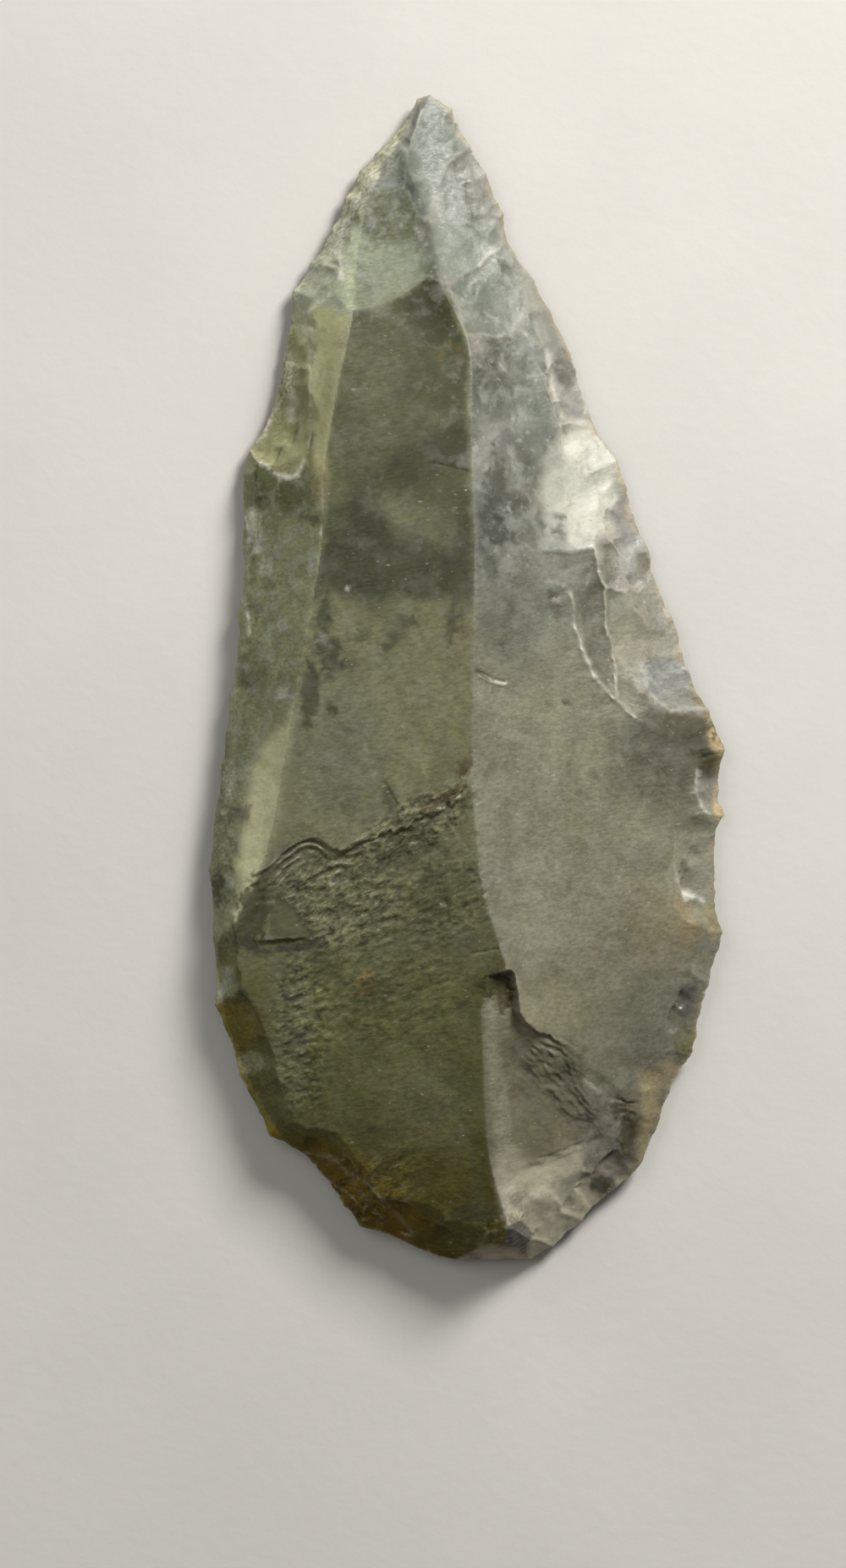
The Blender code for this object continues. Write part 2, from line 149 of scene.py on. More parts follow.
# Rims that run across: across, down.
scarpRim = [
    (520, 1156), (568, 1154), (602, 1151), (605, 1172), (609, 1196), (615, 1209),
    (640, 1222), (672, 1238), (690, 1256), (710, 1284), (740, 1300), (770, 1303), (840, 1312),
]
hingeRim = [
    (240, 1075), (285, 1040), (318, 1022), (335, 1005), (352, 994), (378, 990),
    (396, 1001), (410, 1002), (428, 990), (455, 984), (482, 974), (500, 962),
    (522, 954), (540, 940), (560, 925), (600, 905),
]
tipRim = [
    (340, 372), (385, 374), (405, 372), (430, 369), (455, 362), (470, 355), (485, 345),
    (505, 333), (520, 326), (560, 300),
]
innerRim = [(560, 1396), (620, 1372), (655, 1360), (690, 1344), (720, 1322), (770, 1300)]
# Low steps that run up the right facet: down, across.
outerStep = [(690, 664), (706, 676), (755, 683), (795, 700), (825, 725), (850, 752), (862, 790)]
innerStep = [(636, 694), (650, 703), (740, 717), (800, 725), (835, 742), (850, 790)]
# Long scars on the worked face that the solid leaves to the looks, as in longScars.
slightScars = [
    (697, 488, 674, 412, 30, 4, 0.5, 0.35, 0.05),
    (846, 1068, 846, 1000, 50, -4, 0.5, 0.40, 0.10),
]
# Small flake scars with crisp borders: tone, its strength, softness of the border, depth of the
# bowl, drop at the border and the corners.
flakeScars = [
    # The tip.
    ("tipPale", 0.85, 0.35, 0.12, 0, [
        (490, 116), (509, 109), (520, 116), (542, 128), (541, 142), (556, 172), (540, 184),
        (526, 196), (518, 208), (513, 228), (508, 258), (499, 264), (482, 238), (472, 206),
        (477, 175), (483, 148)]),
    ("tipLilac", 0.75, 0.3, 0.16, 0, [
        (557, 172), (575, 200), (590, 228), (602, 254), (594, 262), (560, 264), (532, 267),
        (511, 262), (514, 228), (522, 206), (536, 190)]),
    ("tipMid", 0.85, 0.25, 0.18, 0.01, [
        (508, 262), (532, 267), (560, 264), (584, 264), (592, 290), (566, 315), (548, 328),
        (530, 334), (518, 322), (510, 290)]),
    ("tipShade", 0.85, 0.16, 0.20, 0.03, [
        (548, 328), (566, 315), (592, 291), (602, 318), (618, 352), (614, 378), (602, 400),
        (578, 400), (553, 399), (540, 370), (530, 345)]),
    ("mist", 0.45, 0.3, 0.10, 0, [
        (592, 291), (604, 284), (634, 328), (654, 364), (678, 412), (650, 420), (634, 398),
        (614, 350), (601, 318)]),
    ("mist", 0.5, 0.3, 0.12, 0.03, [
        (602, 401), (611, 380), (634, 400), (648, 416), (640, 446), (620, 450), (606, 440)]),
    ("tipGrey", 0.7, 0.5, 0.04, 0, [
        (497, 262), (508, 262), (513, 290), (519, 318), (522, 334), (506, 334), (494, 318),
        (490, 290)]),
    ("straw", 0.8, 0.3, 0.06, 0, [
        (483, 136), (480, 158), (466, 180), (452, 196), (440, 222), (424, 232), (404, 236),
        (424, 198), (444, 178)]),
    ("mist", 0.75, 0.35, 0.06, 0, [
        (480, 160), (474, 182), (472, 206), (476, 224), (444, 230), (436, 228), (452, 198),
        (468, 178)]),
    ("tipDark", 0.85, 0.6, 0.08, 0, [
        (436, 229), (476, 226), (486, 244), (498, 264), (491, 288), (470, 292), (440, 288),
        (424, 268), (428, 240)]),
    ("pale", 0.85, 0.3, 0.14, 0, [
        (424, 268), (440, 289), (470, 293), (490, 290), (494, 318), (505, 334), (484, 346),
        (462, 358), (440, 366), (414, 371), (398, 352), (402, 318), (404, 290)]),
    ("pale", 0.8, 0.3, 0.14, 0, [
        (404, 236), (426, 236), (424, 266), (404, 290), (400, 320), (396, 352), (414, 371),
        (384, 374), (360, 366), (345, 345), (366, 310), (388, 275)]),
    ("centreDeep", 0.9, 0.16, 0, 0, [
        (486, 346), (506, 334), (518, 332), (529, 345), (542, 376), (552, 402), (520, 410),
        (480, 380)]),
    # Below the tip on the right.
    ("lilac", 0.6, 0.2, 0.16, 0.06, [
        (652, 414), (672, 410), (682, 430), (692, 462), (692, 490), (676, 498), (664, 486),
        (655, 450)]),
    ("notch", 0.85, 0.3, 0.06, 0.0, [
        (653, 416), (672, 412), (680, 430), (680, 448), (670, 466), (658, 448)]),
    # The pale ice patches are partly pale patina and partly painted sheen on this face, which turns
    # to the light.
    ("ice", 0.55, 0.7, 0, 0, [
        (664, 506), (690, 496), (730, 545), (720, 630), (700, 648), (668, 648), (642, 644),
        (644, 606), (640, 570), (648, 535)]),
    ("ice", 0.7, 0.14, 0.14, 0.04, [
        (676, 500), (688, 492), (704, 497), (722, 524), (737, 545), (726, 562), (722, 575),
        (738, 579), (724, 598), (720, 618), (704, 632), (700, 648), (684, 650), (672, 644),
        (668, 606), (664, 572), (664, 535)]),
    ("pearl", 0.55, 0.3, 0.06, 0, [
        (724, 598), (740, 580), (756, 598), (766, 640), (752, 657), (748, 690), (740, 696),
        (731, 665), (727, 640)]),
    ("lilac", 0.6, 0.25, 0.10, 0.02, [
        (728, 584), (739, 577), (750, 590), (757, 612), (757, 640), (747, 650), (736, 646),
        (729, 628)]),
    ("rightShade", 0.9, 0.2, 0.14, 0.05, [
        (711, 646), (726, 640), (731, 660), (732, 690), (726, 697), (716, 690), (711, 670)]),
    ("rightShade", 0.7, 0.2, 0.12, 0.03, [
        (752, 654), (763, 653), (768, 672), (767, 690), (759, 694), (753, 680)]),
    ("mist", 0.5, 0.3, 0.06, 0, [
        (758, 694), (776, 692), (802, 742), (792, 758), (774, 738), (760, 714)]),
    ("stepped", 0.6, 0.3, 0.14, 0.02, [
        (717, 704), (742, 698), (757, 700), (776, 738), (793, 758), (764, 792), (740, 804),
        (727, 796), (719, 750)]),
    ("rightDark", 0.5, 0.2, 0.12, 0.03, [
        (682, 688), (702, 660), (711, 690), (718, 745), (729, 812), (716, 812), (700, 795),
        (688, 750)]),
    ("rightShade", 0.6, 0.14, 0.12, 0.08, [
        (640, 654), (672, 656), (702, 652), (703, 664), (690, 700), (664, 694), (642, 688)]),
    ("pearl", 0.75, 0.14, 0.12, 0.04, [
        (758, 784), (790, 776), (815, 797), (838, 838), (806, 844), (785, 836), (769, 824),
        (760, 802)]),
    ("rightShade", 0.7, 0.2, 0.05, 0, [
        (783, 822), (800, 816), (826, 818), (835, 832), (806, 842), (788, 836)]),
    ("rightDark", 0.75, 0.4, 0.05, 0, [
        (764, 838), (788, 842), (838, 846), (848, 872), (836, 884), (806, 898), (768, 884),
        (752, 856)]),
    ("pinkCream", 0.9, 0.3, 0.02, 0, [
        (838, 842), (848, 850), (862, 888), (846, 893), (836, 880), (834, 862)]),
    # At the notch in the right edge, the umber top is painted shade and the pink cream at its foot
    # is painted light on its lit wall.
    ("umber", 0.9, 0.4, 0, 0, [
        (828, 892), (853, 893), (852, 912), (840, 922), (828, 922), (824, 908)]),
    ("lilac", 0.5, 0.4, 0, 0, [
        (824, 920), (850, 914), (849, 944), (840, 962), (828, 956), (822, 936)]),
    ("pinkCream", 0.8, 0.3, 0, 0, [
        (846, 926), (851, 930), (850, 946), (857, 962), (850, 972), (842, 962), (842, 944)]),
    ("lilac", 0.3, 0.4, 0.04, 0, [
        (806, 1012), (826, 990), (848, 985), (846, 1068), (828, 1068), (808, 1050)]),
    # The lower right.
    ("lilacDark", 0.45, 0.4, 0.06, 0.01, [
        (800, 1166), (812, 1162), (822, 1168), (824, 1190), (816, 1212), (804, 1214),
        (797, 1196)]),
    ("umber", 0.5, 0.3, 0.08, 0.02, [
        (798, 1212), (822, 1208), (824, 1240), (808, 1252), (795, 1246)]),
    ("sand", 0.8, 0.5, 0.04, 0, [
        (768, 1262), (790, 1252), (808, 1256), (800, 1272), (784, 1282), (768, 1280)]),
    ("hollow", 0.95, 0.12, 0.30, 0.06, [
        (690, 1346), (704, 1312), (722, 1300), (738, 1304), (736, 1326), (728, 1344),
        (736, 1356), (742, 1380), (736, 1396), (722, 1401), (702, 1392), (688, 1378)]),
    # This umber scar is painted shadow below the scarp.
    ("umber", 0.7, 0.5, 0.12, 0.03, [
        (737, 1318), (750, 1322), (752, 1344), (746, 1362), (736, 1366), (729, 1350),
        (728, 1334)]),
    ("umber", 0.9, 0.2, 0.06, 0.02, [
        (696, 1390), (704, 1390), (718, 1396), (727, 1394), (716, 1411), (704, 1409)]),
    ("sand", 0.9, 0.6, 0.04, 0, [
        (754, 1262), (776, 1262), (780, 1300), (770, 1334), (762, 1372), (756, 1390),
        (753, 1386), (755, 1362), (758, 1326)]),
    ("cortex", 0.75, 0.7, 0.06, 0.03, [
        (622, 1378), (660, 1358), (688, 1346), (686, 1380), (704, 1410), (706, 1430),
        (690, 1440), (664, 1466), (640, 1484), (620, 1492), (624, 1450), (606, 1430),
        (604, 1402)]),
    ("lilacDark", 0.9, 0.10, 0.16, 0.06, [
        (600, 1446), (618, 1440), (630, 1458), (620, 1470), (604, 1476), (596, 1462)]),
    # The left side.
    ("slabTop", 0.9, 0.10, 0, 0, [
        (318, 1113), (380, 1111), (352, 1074), (332, 1046), (322, 1070)]),
    ("paleStrip", 0.95, 0.2, 0.04, 0, [
        (362, 356), (388, 368), (412, 372), (404, 400), (400, 424), (394, 470), (390, 514),
        (386, 545), (378, 552), (371, 540), (371, 510), (368, 440), (364, 400)]),
    ("leftScar", 0.95, 0.16, 0.06, 0, [
        (336, 400), (350, 392), (362, 420), (367, 445), (369, 510), (364, 535), (360, 548),
        (352, 560), (340, 565), (326, 561), (310, 547), (297, 532), (299, 526), (327, 465),
        (331, 430)]),
    ("strip", 0.92, 1.0, 0.02, 0, [
        (349, 848), (343, 898), (333, 940), (320, 1000), (302, 1044), (284, 1080), (276, 1092),
        (284, 1040), (286, 1000), (292, 950), (300, 900), (322, 868)]),
    ("paleStrip", 0.85, 0.3, 0.08, 0.02, [
        (250, 1150), (262, 1140), (278, 1142), (285, 1160), (278, 1176), (264, 1180),
        (252, 1188)]),
    ("strip", 0.4, 0.3, 0.06, 0.01, [
        (277, 1250), (296, 1238), (314, 1246), (310, 1262), (292, 1272), (278, 1270)]),
    ("ochreDark", 0.8, 0.5, 0.06, 0, [
        (256, 1190), (264, 1182), (292, 1184), (306, 1204), (304, 1232), (288, 1242),
        (274, 1232)]),
    ("moss", 0.5, 0.5, 0.06, 0, [
        (318, 1262), (330, 1282), (326, 1312), (318, 1340), (300, 1320), (286, 1280),
        (300, 1270)]),
]
# Tilted splinters at the lower left foot: their corners, and how far they drop.
splinters = [
    ([(346, 1352), (388, 1364), (416, 1384), (442, 1404), (470, 1434), (490, 1458), (466, 1456),
      (436, 1432), (410, 1408), (386, 1390)], 0.30),
    ([(366, 1374), (400, 1402), (436, 1434), (462, 1458), (498, 1472), (470, 1478), (424, 1456),
      (392, 1412)], 0.30),
    ([(392, 1400), (412, 1430), (440, 1458), (424, 1460), (400, 1432)], 0.25),
    ([(505, 1462), (540, 1468), (572, 1488), (556, 1500), (520, 1486)], 0.20),
]
# Uneven patches: across, down, half length, half breadth, lean, size along and across the grain,
# lean of the grain and height.
roughPatches = [
    (400, 1062, 60, 84, 4, 1.3, 0.50, 62, 0.20), (490, 975, 80, 30, 60, 1.1, 0.45, 60, 0.18),
    (358, 1215, 105, 34, 0, 0.9, 0.55, 70, 0.13), (520, 1060, 60, 60, 0, 1.2, 0.45, 64, 0.10),
    (455, 1170, 70, 90, 0, 1.4, 0.5, 70, 0.08), (340, 448, 26, 12, 8, 0.6, 0.4, 10, 0.16),
    (412, 250, 125, 16, 34, 1.2, 0.5, 30, 0.12), (655, 1262, 46, 40, 60, 1.8, 0.3, 126, 0.07),
    (722, 1335, 62, 30, 6, 1.3, 0.5, 20, 0.08), (645, 1432, 48, 52, 0, 1.4, 0.9, 40, 0.10),
    (430, 1415, 40, 80, -40, 2.4, 0.5, 52, 0.12), (600, 1460, 26, 40, 0, 0.9, 0.6, 40, 0.12),
    (700, 745, 110, 50, -14, 1.6, 0.6, 70, 0.04), (266, 1000, 130, 12, -4, 0.8, 0.5, 10, 0.08),
    (590, 1185, 40, 22, 0, 0.9, 0.4, 80, 0.05), (470, 260, 46, 40, 20, 0.9, 0.6, 20, 0.07),
    (515, 200, 70, 40, 10, 1.1, 0.5, 10, 0.06), (590, 340, 60, 40, -20, 1.3, 0.8, -30, 0.03),
    (610, 520, 120, 50, -8, 2.4, 1.3, -20, 0.06), (590, 430, 30, 40, 0, 0.9, 0.6, 60, 0.09),
    (310, 660, 120, 22, 0, 1.2, 0.8, 10, 0.05), (640, 1430, 90, 300, 80, 0.8, 0.4, 75, 0.02),
]
# Lips and grooves: across and down of each end, half width and height, below nought for a groove.
lips = [
    (675, 702, 678, 742, 0.26, 0.10), (678, 742, 687, 768, 0.28, 0.15),
    (687, 768, 703, 800, 0.30, 0.18), (703, 800, 724, 826, 0.28, 0.16),
    (724, 826, 749, 847, 0.28, 0.16), (701, 649, 707, 677, 0.26, 0.12),
    (707, 677, 716, 696, 0.26, 0.12), (716, 696, 737, 701, 0.24, 0.10),
    (713, 700, 716, 742, 0.20, 0.08), (716, 742, 724, 780, 0.22, 0.10),
    (724, 780, 729, 824, 0.22, 0.12),
    (646, 414, 651, 454, 0.22, 0.20), (651, 454, 663, 492, 0.22, 0.18),
    (785, 833, 838, 839, 0.20, 0.10),
    (563, 794, 594, 808, 0.15, -0.20), (566, 801, 596, 812, 0.11, 0.07),
    (505, 549, 528, 552, 0.08, -0.08), (528, 552, 556, 561, 0.09, -0.08),
    (638, 1366, 690, 1346, 0.14, -0.12), (640, 1372, 692, 1352, 0.16, 0.08),
    (455, 925, 468, 950, 0.20, -0.10), (542, 930, 556, 905, 0.20, -0.12),
    (360, 1083, 352, 1092, 0.16, -0.15), (560, 1124, 588, 1118, 0.14, -0.10),
    (400, 1006, 430, 988, 0.22, 0.14), (402, 1012, 428, 1000, 0.16, -0.12),
]
# A thin slab left standing below the hinge: its corners, its height along the lower edge, and
# how much of its breadth each side slopes over.
slab = {
    "corners": [(296, 1113), (380, 1109), (322, 1030)],
    "height": 0.45,
    "lowerSide": 0.04,
    "leftSide": 0.48,
    "rightSide": 0.24,
    "flatTo": 0.1,
}

# The fine trimming along the edge.
retouch = {
    "seed": 42,
    "chord": (0.7, 2.0),
    "bite": (0.02, 0.16),
    "reach": (0.35, 1.5),
    "lean": (-25, 25),
    "share": 0.8,  # of the edge that is trimmed
    "shortest": 0.3,
    "rough": 0.05,
    "bowl": 0.05,
    "side": 0.03,
    "lift": 0.02,
}

# Unevenness, layer by layer: height, distance between the bumps and seed.
layers = {
    "wanderX": ((1, 4.3, 1), (0.45, 1.7, 2)),
    "wanderY": ((1, 4.3, 3), (0.45, 1.7, 4)),
    "raggedX": ((0.16, 1.7, 43), (0.10, 0.7, 41)),
    "raggedY": ((0.16, 1.7, 44), (0.10, 0.7, 42)),
    "hingeTears": ((0.5, 1.2, 28), (0.35, 0.5, 29)),
    "scarpX": ((0.30, 1.3, 23), (0.14, 0.55, 24)),
    "scarpY": ((0.30, 1.3, 25), (0.14, 0.55, 26)),
    "face": ((0.045, 3.9, 51), (0.022, 1.6, 52), (0.010, 0.6, 53)),
    "under": ((0.03, 3.1, 73), (0.012, 1.1, 74)),
    "stainsAndShadows": ((0.55, 0.55, 91), (0.35, 0.27, 92)),
    "thinEdge": ((1, 2.1, 87), (0.5, 0.8, 94)),
}


def across(value):
    return (np.asarray(value, float) - drawing["middle"]) * drawing["unit"]


def along(value):
    return (drawing["foot"] - np.asarray(value, float)) * drawing["unit"]


def column(rows, index):
    return [row[index] for row in rows]


# A smooth curve through the values at the stations.
def smooth(at, stations, values):
    where = np.asarray(stations, float)
    value = np.asarray(values, float)
    if where[0] > where[-1]:
        where = where[::-1]
        value = value[::-1]
    lean = np.gradient(value, where)
    i = np.clip(np.searchsorted(where, at) - 1, 0, len(where) - 2)
    gap = where[i + 1] - where[i]
    t = np.clip((at - where[i]) / gap, 0, 1)
    start = (1 + 2 * t) * (1 - t) ** 2 * value[i]
    leave = t * (1 - t) ** 2 * gap * lean[i]
    end = t * t * (3 - 2 * t) * value[i + 1]
    arrive = t * t * (t - 1) * gap * lean[i + 1]
    return start + leave + end + arrive


def ramp(value, low, high):
    t = np.clip((value - low) / (high - low), 0, 1)
    return t * t * (3 - 2 * t)


# The lower of two surfaces, with the ridge between them worn round.
def lowerOf(first, second):
    wear = flint["ridgeWear"]
    near = np.maximum(wear - np.abs(first - second), 0) / wear
    return np.minimum(first, second) - near * near * wear / 4


# A smooth uneven surface between -1 and 1 whose bumps are about a cell apart.
def uneven(x, y, cell, seed):
    lattice = np.random.default_rng(seed).uniform(-1, 1, (64, 64))
    gx = x / cell + 23.3
    gy = y / cell + 11.7
    ix = np.floor(gx).astype(int)
    iy = np.floor(gy).astype(int)
    fx = ramp(gx - ix, 0, 1)
    fy = ramp(gy - iy, 0, 1)
    near = lattice[iy % 64, ix % 64] * (1 - fx) + lattice[iy % 64, (ix + 1) % 64] * fx
    far = lattice[(iy + 1) % 64, ix % 64] * (1 - fx)
    far = far + lattice[(iy + 1) % 64, (ix + 1) % 64] * fx
    return near * (1 - fy) + far * fy


def layered(x, y, name):
    return sum(height * uneven(x, y, cell, seed) for height, cell, seed in layers[name])


# Uneven bumps drawn out along a grain that leans from the long axis.
def grained(x, y, longSize, shortSize, lean, seed):
    turn = math.radians(lean)
    u = (x * math.sin(turn) + y * math.cos(turn)) / longSize
    v = (x * math.cos(turn) - y * math.sin(turn)) / shortSize
    coarse = uneven(u, v, 1, seed)
    fine = uneven(u, v, 0.47, seed + 1)
    finest = uneven(u, v, 0.21, seed + 2)
    return 0.6 * coarse + 0.3 * fine + 0.15 * finest


# Shifts places about, so that borders drawn straight come out uneven.
def wander(x, y, much):
    return x + much * layered(x, y, "wanderX"), y + much * layered(x, y, "wanderY")


# The same on a finer scale.
def ragged(x, y):
    return x + layered(x, y, "raggedX"), y + layered(x, y, "raggedY")


# Distance past a rim, measured square to it.
def pastRim(at, other, stations, values):
    rim = smooth(at, stations, values)
    rise = smooth(at + 0.2, stations, values) - smooth(at - 0.2, stations, values)
    return (other - rim) / np.sqrt(1 + (rise / 0.4) ** 2)


def overRim(x, y, rim):
    return pastRim(x, y, across(column(rim, 0)), along(column(rim, 1)))


def besideRim(x, y, rim):
    return pastRim(y, x, along(column(rim, 0)), across(column(rim, 1)))


# Distance past a chain of straight lines that runs across, whatever their slope.
def pastChain(x, y, rim):
    nearest = np.full(np.shape(x), 1e9)
    for start, end in zip(rim, rim[1:]):
        nearest = np.minimum(nearest, fromLine(x, y, *start, *end))
    line = np.interp(x, across(column(rim, 0)), along(column(rim, 1)))
    return np.where(y > line, nearest, -nearest)


# 1 inside a leaning oval, fading to 0 past its border.
def oval(x, y, spot, soft=0.35):
    lean = math.radians(spot[4])
    dx = x - across(spot[0])
    dy = y - along(spot[1])
    u = (dx * math.sin(lean) + dy * math.cos(lean)) / (spot[2] * drawing["unit"])
    v = (dx * math.cos(lean) - dy * math.sin(lean)) / (spot[3] * drawing["unit"])
    return 1 - ramp(np.hypot(u, v), 1 - soft, 1 + soft)


# Distance from the line between two places.
def fromLine(x, y, acrossA, downA, acrossB, downB):
    ax = across(acrossA)
    ay = along(downA)
    dx = across(acrossB) - ax
    dy = along(downB) - ay
    t = np.clip(((x - ax) * dx + (y - ay) * dy) / (dx * dx + dy * dy), 0, 1)
    return np.hypot(x - ax - t * dx, y - ay - t * dy)


# The lower face: its bow, the rise at its foot, the swelling that the blow left near there,
# where the blow fell, the rings and rays that run from it, and the small scar on the swelling.
under = {
    "bow": 1.7, "bowBreadth": 27.5, "bowMiddle": 56, "bowLength": 72,
    "footRise": 0.7, "footFrom": 26, "footTo": 2,
    "bulb": 1.0, "bulbAcross": 3, "bulbAlong": 10, "bulbSize": 8,
    "blowAcross": 1.5, "blowAlong": 1.0,
    "ringStep": 3.6, "ringSpread": 0.06, "ringHeight": 0.045, "ringWobble": 0.8,
    "ringsFrom": (3, 12), "ringsTo": (60, 110),
    "rayTurns": 16, "rayLength": 9, "rayHeight": 0.035, "raysFrom": (4, 10), "raysTo": (22, 45),
    "bulbScar": (585, 1395, 60, 30, 20), "bulbScarDepth": 0.25, "bulbScarSoft": 0.12,
    "marksFrom": (0.1, 1.0),  # in from the edge
}


# The lower face without its marks.
def lowerFace(x, y):
    bow = (x / under["bowBreadth"]) ** 2 + ((y - under["bowMiddle"]) / under["bowLength"]) ** 2
    dx = (x - under["bulbAcross"]) / under["bulbSize"]
    dy = (y - under["bulbAlong"]) / under["bulbSize"]
    foot = ramp(-y, -under["footFrom"], -under["footTo"])
    swelling = np.exp(-(dx ** 2) - dy ** 2)
    return under["bow"] * bow + under["footRise"] * foot - under["bulb"] * swelling


def ridges(y):
    mainAt = along(column(mainRidge, 0))
    leftAt = along(column(leftRidge, 0))
    blankAt = along(column(blank, 0))
    return {
        "main": smooth(y, mainAt, across(column(mainRidge, 1))),
        "mainTop": smooth(y, mainAt, column(mainRidge, 2)),
        "left": smooth(y, leftAt, across(column(leftRidge, 1))),
        "leftTop": smooth(y, leftAt, column(leftRidge, 2)),
        "leftEdge": smooth(y, blankAt, across(column(blank, 1))),
        "rightEdge": smooth(y, blankAt, across(column(blank, 2))),
    }


# How far a hollow facet lies below the straight line between its borders.
def sag(share, depth):
    t = np.clip(share, 0, 1)
    return 4 * depth * t * (1 - t)


# The long facets: how high they end at the edges, at most and as a share of their ridge, how
# hollow they are, the least breadth that the left one slopes over, and the scar by the tip.
facetForm = {
    "rightEnd": 2.3, "rightShare": 0.6, "rightHollow": 0.4,
    "leftEnd": 2.6, "leftShare": 0.62, "leftBreadth": 2.6,
    "centreHollow": 0.22,
    "tipDrop": 0.50, "tipDropOver": (0, 0.6),
    "tipFall": 0.45, "tipFallOver": (105, 112), "tipRise": 0.9, "tipRiseOver": (112, 124),
    "wander": 0.16,
}
# The hinge across the middle facet: its drop, the low step past it and the ripples there.
# Across the picture it goes over from clean to torn.
hinge = {
    "torn": (415, 450), "drop": 0.42, "dropOver": (0, 0.4), "tornLoss": 0.1,
    "step": 0.13, "stepOver": (1.0, 1.3),
    "ripple": 0.15, "rippleRate": 6.3, "rippleShift": 3.0, "rippleGaps": (-0.4, 0.5),
    "ripplesFrom": (0.1, 0.5), "ripplesTo": (1.2, 3.6), "tornRipples": 0.8,
    "fromLeftRidge": (0.6, 2.2), "fromFoot": (16, 42), "fromMainRidge": (0, 3),
}


# How far the middle facet drops past the hinge.
def hingeFall(x, y, r):
    past = -overRim(*wander(x, y, facetForm["wander"]), hingeRim)
    torn = ramp(x, *across(hinge["torn"]))
    past = past + torn * layered(x, y, "hingeTears")
    drop = (hinge["drop"] - hinge["tornLoss"] * torn) * ramp(past, *hinge["dropOver"])
    fall = drop + hinge["step"] * ramp(past, *hinge["stepOver"]) * (1 - torn)
    waves = np.sin(past * hinge["rippleRate"] + hinge["rippleShift"] * uneven(x, y, 2.1, 21))
    waves = waves * ramp(uneven(x, y, 1.5, 22), *hinge["rippleGaps"])
    waves = hinge["ripple"] * waves * ramp(past, *hinge["ripplesFrom"])
    waves = waves * (1 - ramp(past, *hinge["ripplesTo"]))
    waves = waves * ramp(x - r["left"], *hinge["fromLeftRidge"]) * (1 - hinge["tornRipples"] * torn)
    nearRidge = 0.35 + 0.65 * ramp(r["main"] - x, *hinge["fromMainRidge"])
    return (fall + waves) * ramp(y, *hinge["fromFoot"]) * nearRidge


# The three long facets, with the hinge across the middle one and the scar by the tip, and
# which of them each point is on.
def facets(x, y):
    r = ridges(y)
    form = facetForm
    rightLow = np.minimum(form["rightEnd"], form["rightShare"] * r["mainTop"])
    leftLow = np.minimum(form["leftEnd"], form["leftShare"] * r["leftTop"])
    t = (x - r["main"]) / np.maximum(r["rightEdge"] - r["main"], 1)
    right = r["mainTop"] + (rightLow - r["mainTop"]) * t - sag(t, form["rightHollow"])
    t = (x - r["left"]) / np.maximum(r["main"] - r["left"], 1)
    centre = r["leftTop"] + (r["mainTop"] - r["leftTop"]) * t - sag(t, form["centreHollow"])
    t = (r["left"] - x) / np.maximum(r["left"] - r["leftEdge"], form["leftBreadth"])
    left = r["leftTop"] + (leftLow - r["leftTop"]) * t
    past = overRim(*wander(x, y, form["wander"]), tipRim)
    scar = form["tipDrop"] * ramp(past, *form["tipDropOver"])
    scar = scar + form["tipFall"] * ramp(y, *form["tipFallOver"])
    scar = scar - form["tipRise"] * ramp(y, *form["tipRiseOver"])
    centre = centre - hingeFall(x, y, r) - scar
    owner = np.where(right < centre, rightFacet, centreFacet)
    owner = np.where(left < np.minimum(centre, right), leftFacet, owner)
    return {"height": lowerOf(lowerOf(centre, right), left), "owner": owner}


# Who owns a point of the worked face: a facet, a broad scar, or a numbered scar.
centreFacet = 0
rightFacet = 1
leftFacet = 2
broadScar = 3
longScar = 10
trimmingScar = 100


# Lowers the face to a new surface, at some of its points.
def carve(face, where, surface, owner):
    old = face["height"][where]
    mine = face["owner"][where]
    face["height"][where] = lowerOf(old, surface)
    face["owner"][where] = np.where(surface < old, owner, mine)


def shallowScar(x, y, facet, row):
    halfLength = row[2] * drawing["unit"]
    halfBreadth = row[3] * drawing["unit"]
    lean = math.radians(row[4])
    dx = x - across(row[0])
    dy = y - along(row[1])
    u = np.abs(dx * math.sin(lean) + dy * math.cos(lean)) / halfLength
    v = np.abs(dx * math.cos(lean) - dy * math.sin(lean)) / halfBreadth
    return facet - row[5] * (1 - u ** 2.5 - v ** 2.5)


lowSteps = {"drop": 0.3, "over": (0, 0.3), "levelAgain": (1.5, 5), "top": (0, 1.5), "foot": (0, 1)}


# How far the surface drops past a low step, before it comes level again.
def lowStep(x, y, rim):
    past = besideRim(x, y, rim)
    ends = ramp(along(rim[0][0]) - y, *lowSteps["top"])
    ends = ends * ramp(y - along(rim[-1][0]), *lowSteps["foot"])
    fall = lowSteps["drop"] * ramp(past, *lowSteps["over"])
    return fall * (1 - ramp(past, *lowSteps["levelAgain"])) * ends


# The broad scar at the lower right: its drop below the old face, its height at the edge, its
# hollow and least breadth, and the low step and fall across its foot.
broadForm = {
    "drop": 0.55, "edgeHeight": 2.7, "hollow": 0.22, "leastBreadth": 4, "wander": 0.2,
    "innerDrop": 0.30, "innerDropOver": (0, 0.8), "innerFall": 0.6, "innerFallOver": (0.8, 10),
    "innerFrom": (0.08, 0.3), "innerTo": (0.7, 1),
    "ripple": 0.05, "rippleRate": 9, "rippleShift": 2,
    "ripplesTo": (1.0, 4), "ripplesFrom": (0.1, 0.3),
}
# The scarp over it: the slope of its wall, the breadth and number of the treads below it, their
# height in all, how much of it is in risers, and the slope below its upper corner.
scarp = {
    "torn": (606, 630), "tornLeast": 0.1, "wallSlope": 2.4,
    "treadBreadth": 0.75, "treads": 6.5, "treadHeight": 1.45, "riser": (0.45, 1), "inRisers": 0.6,
    "treadsFrom": (5.2, 7.2), "treadsTo": (13, 17),
    "cornerHeight": 0.8, "cornerTo": (0, 4.5),
}


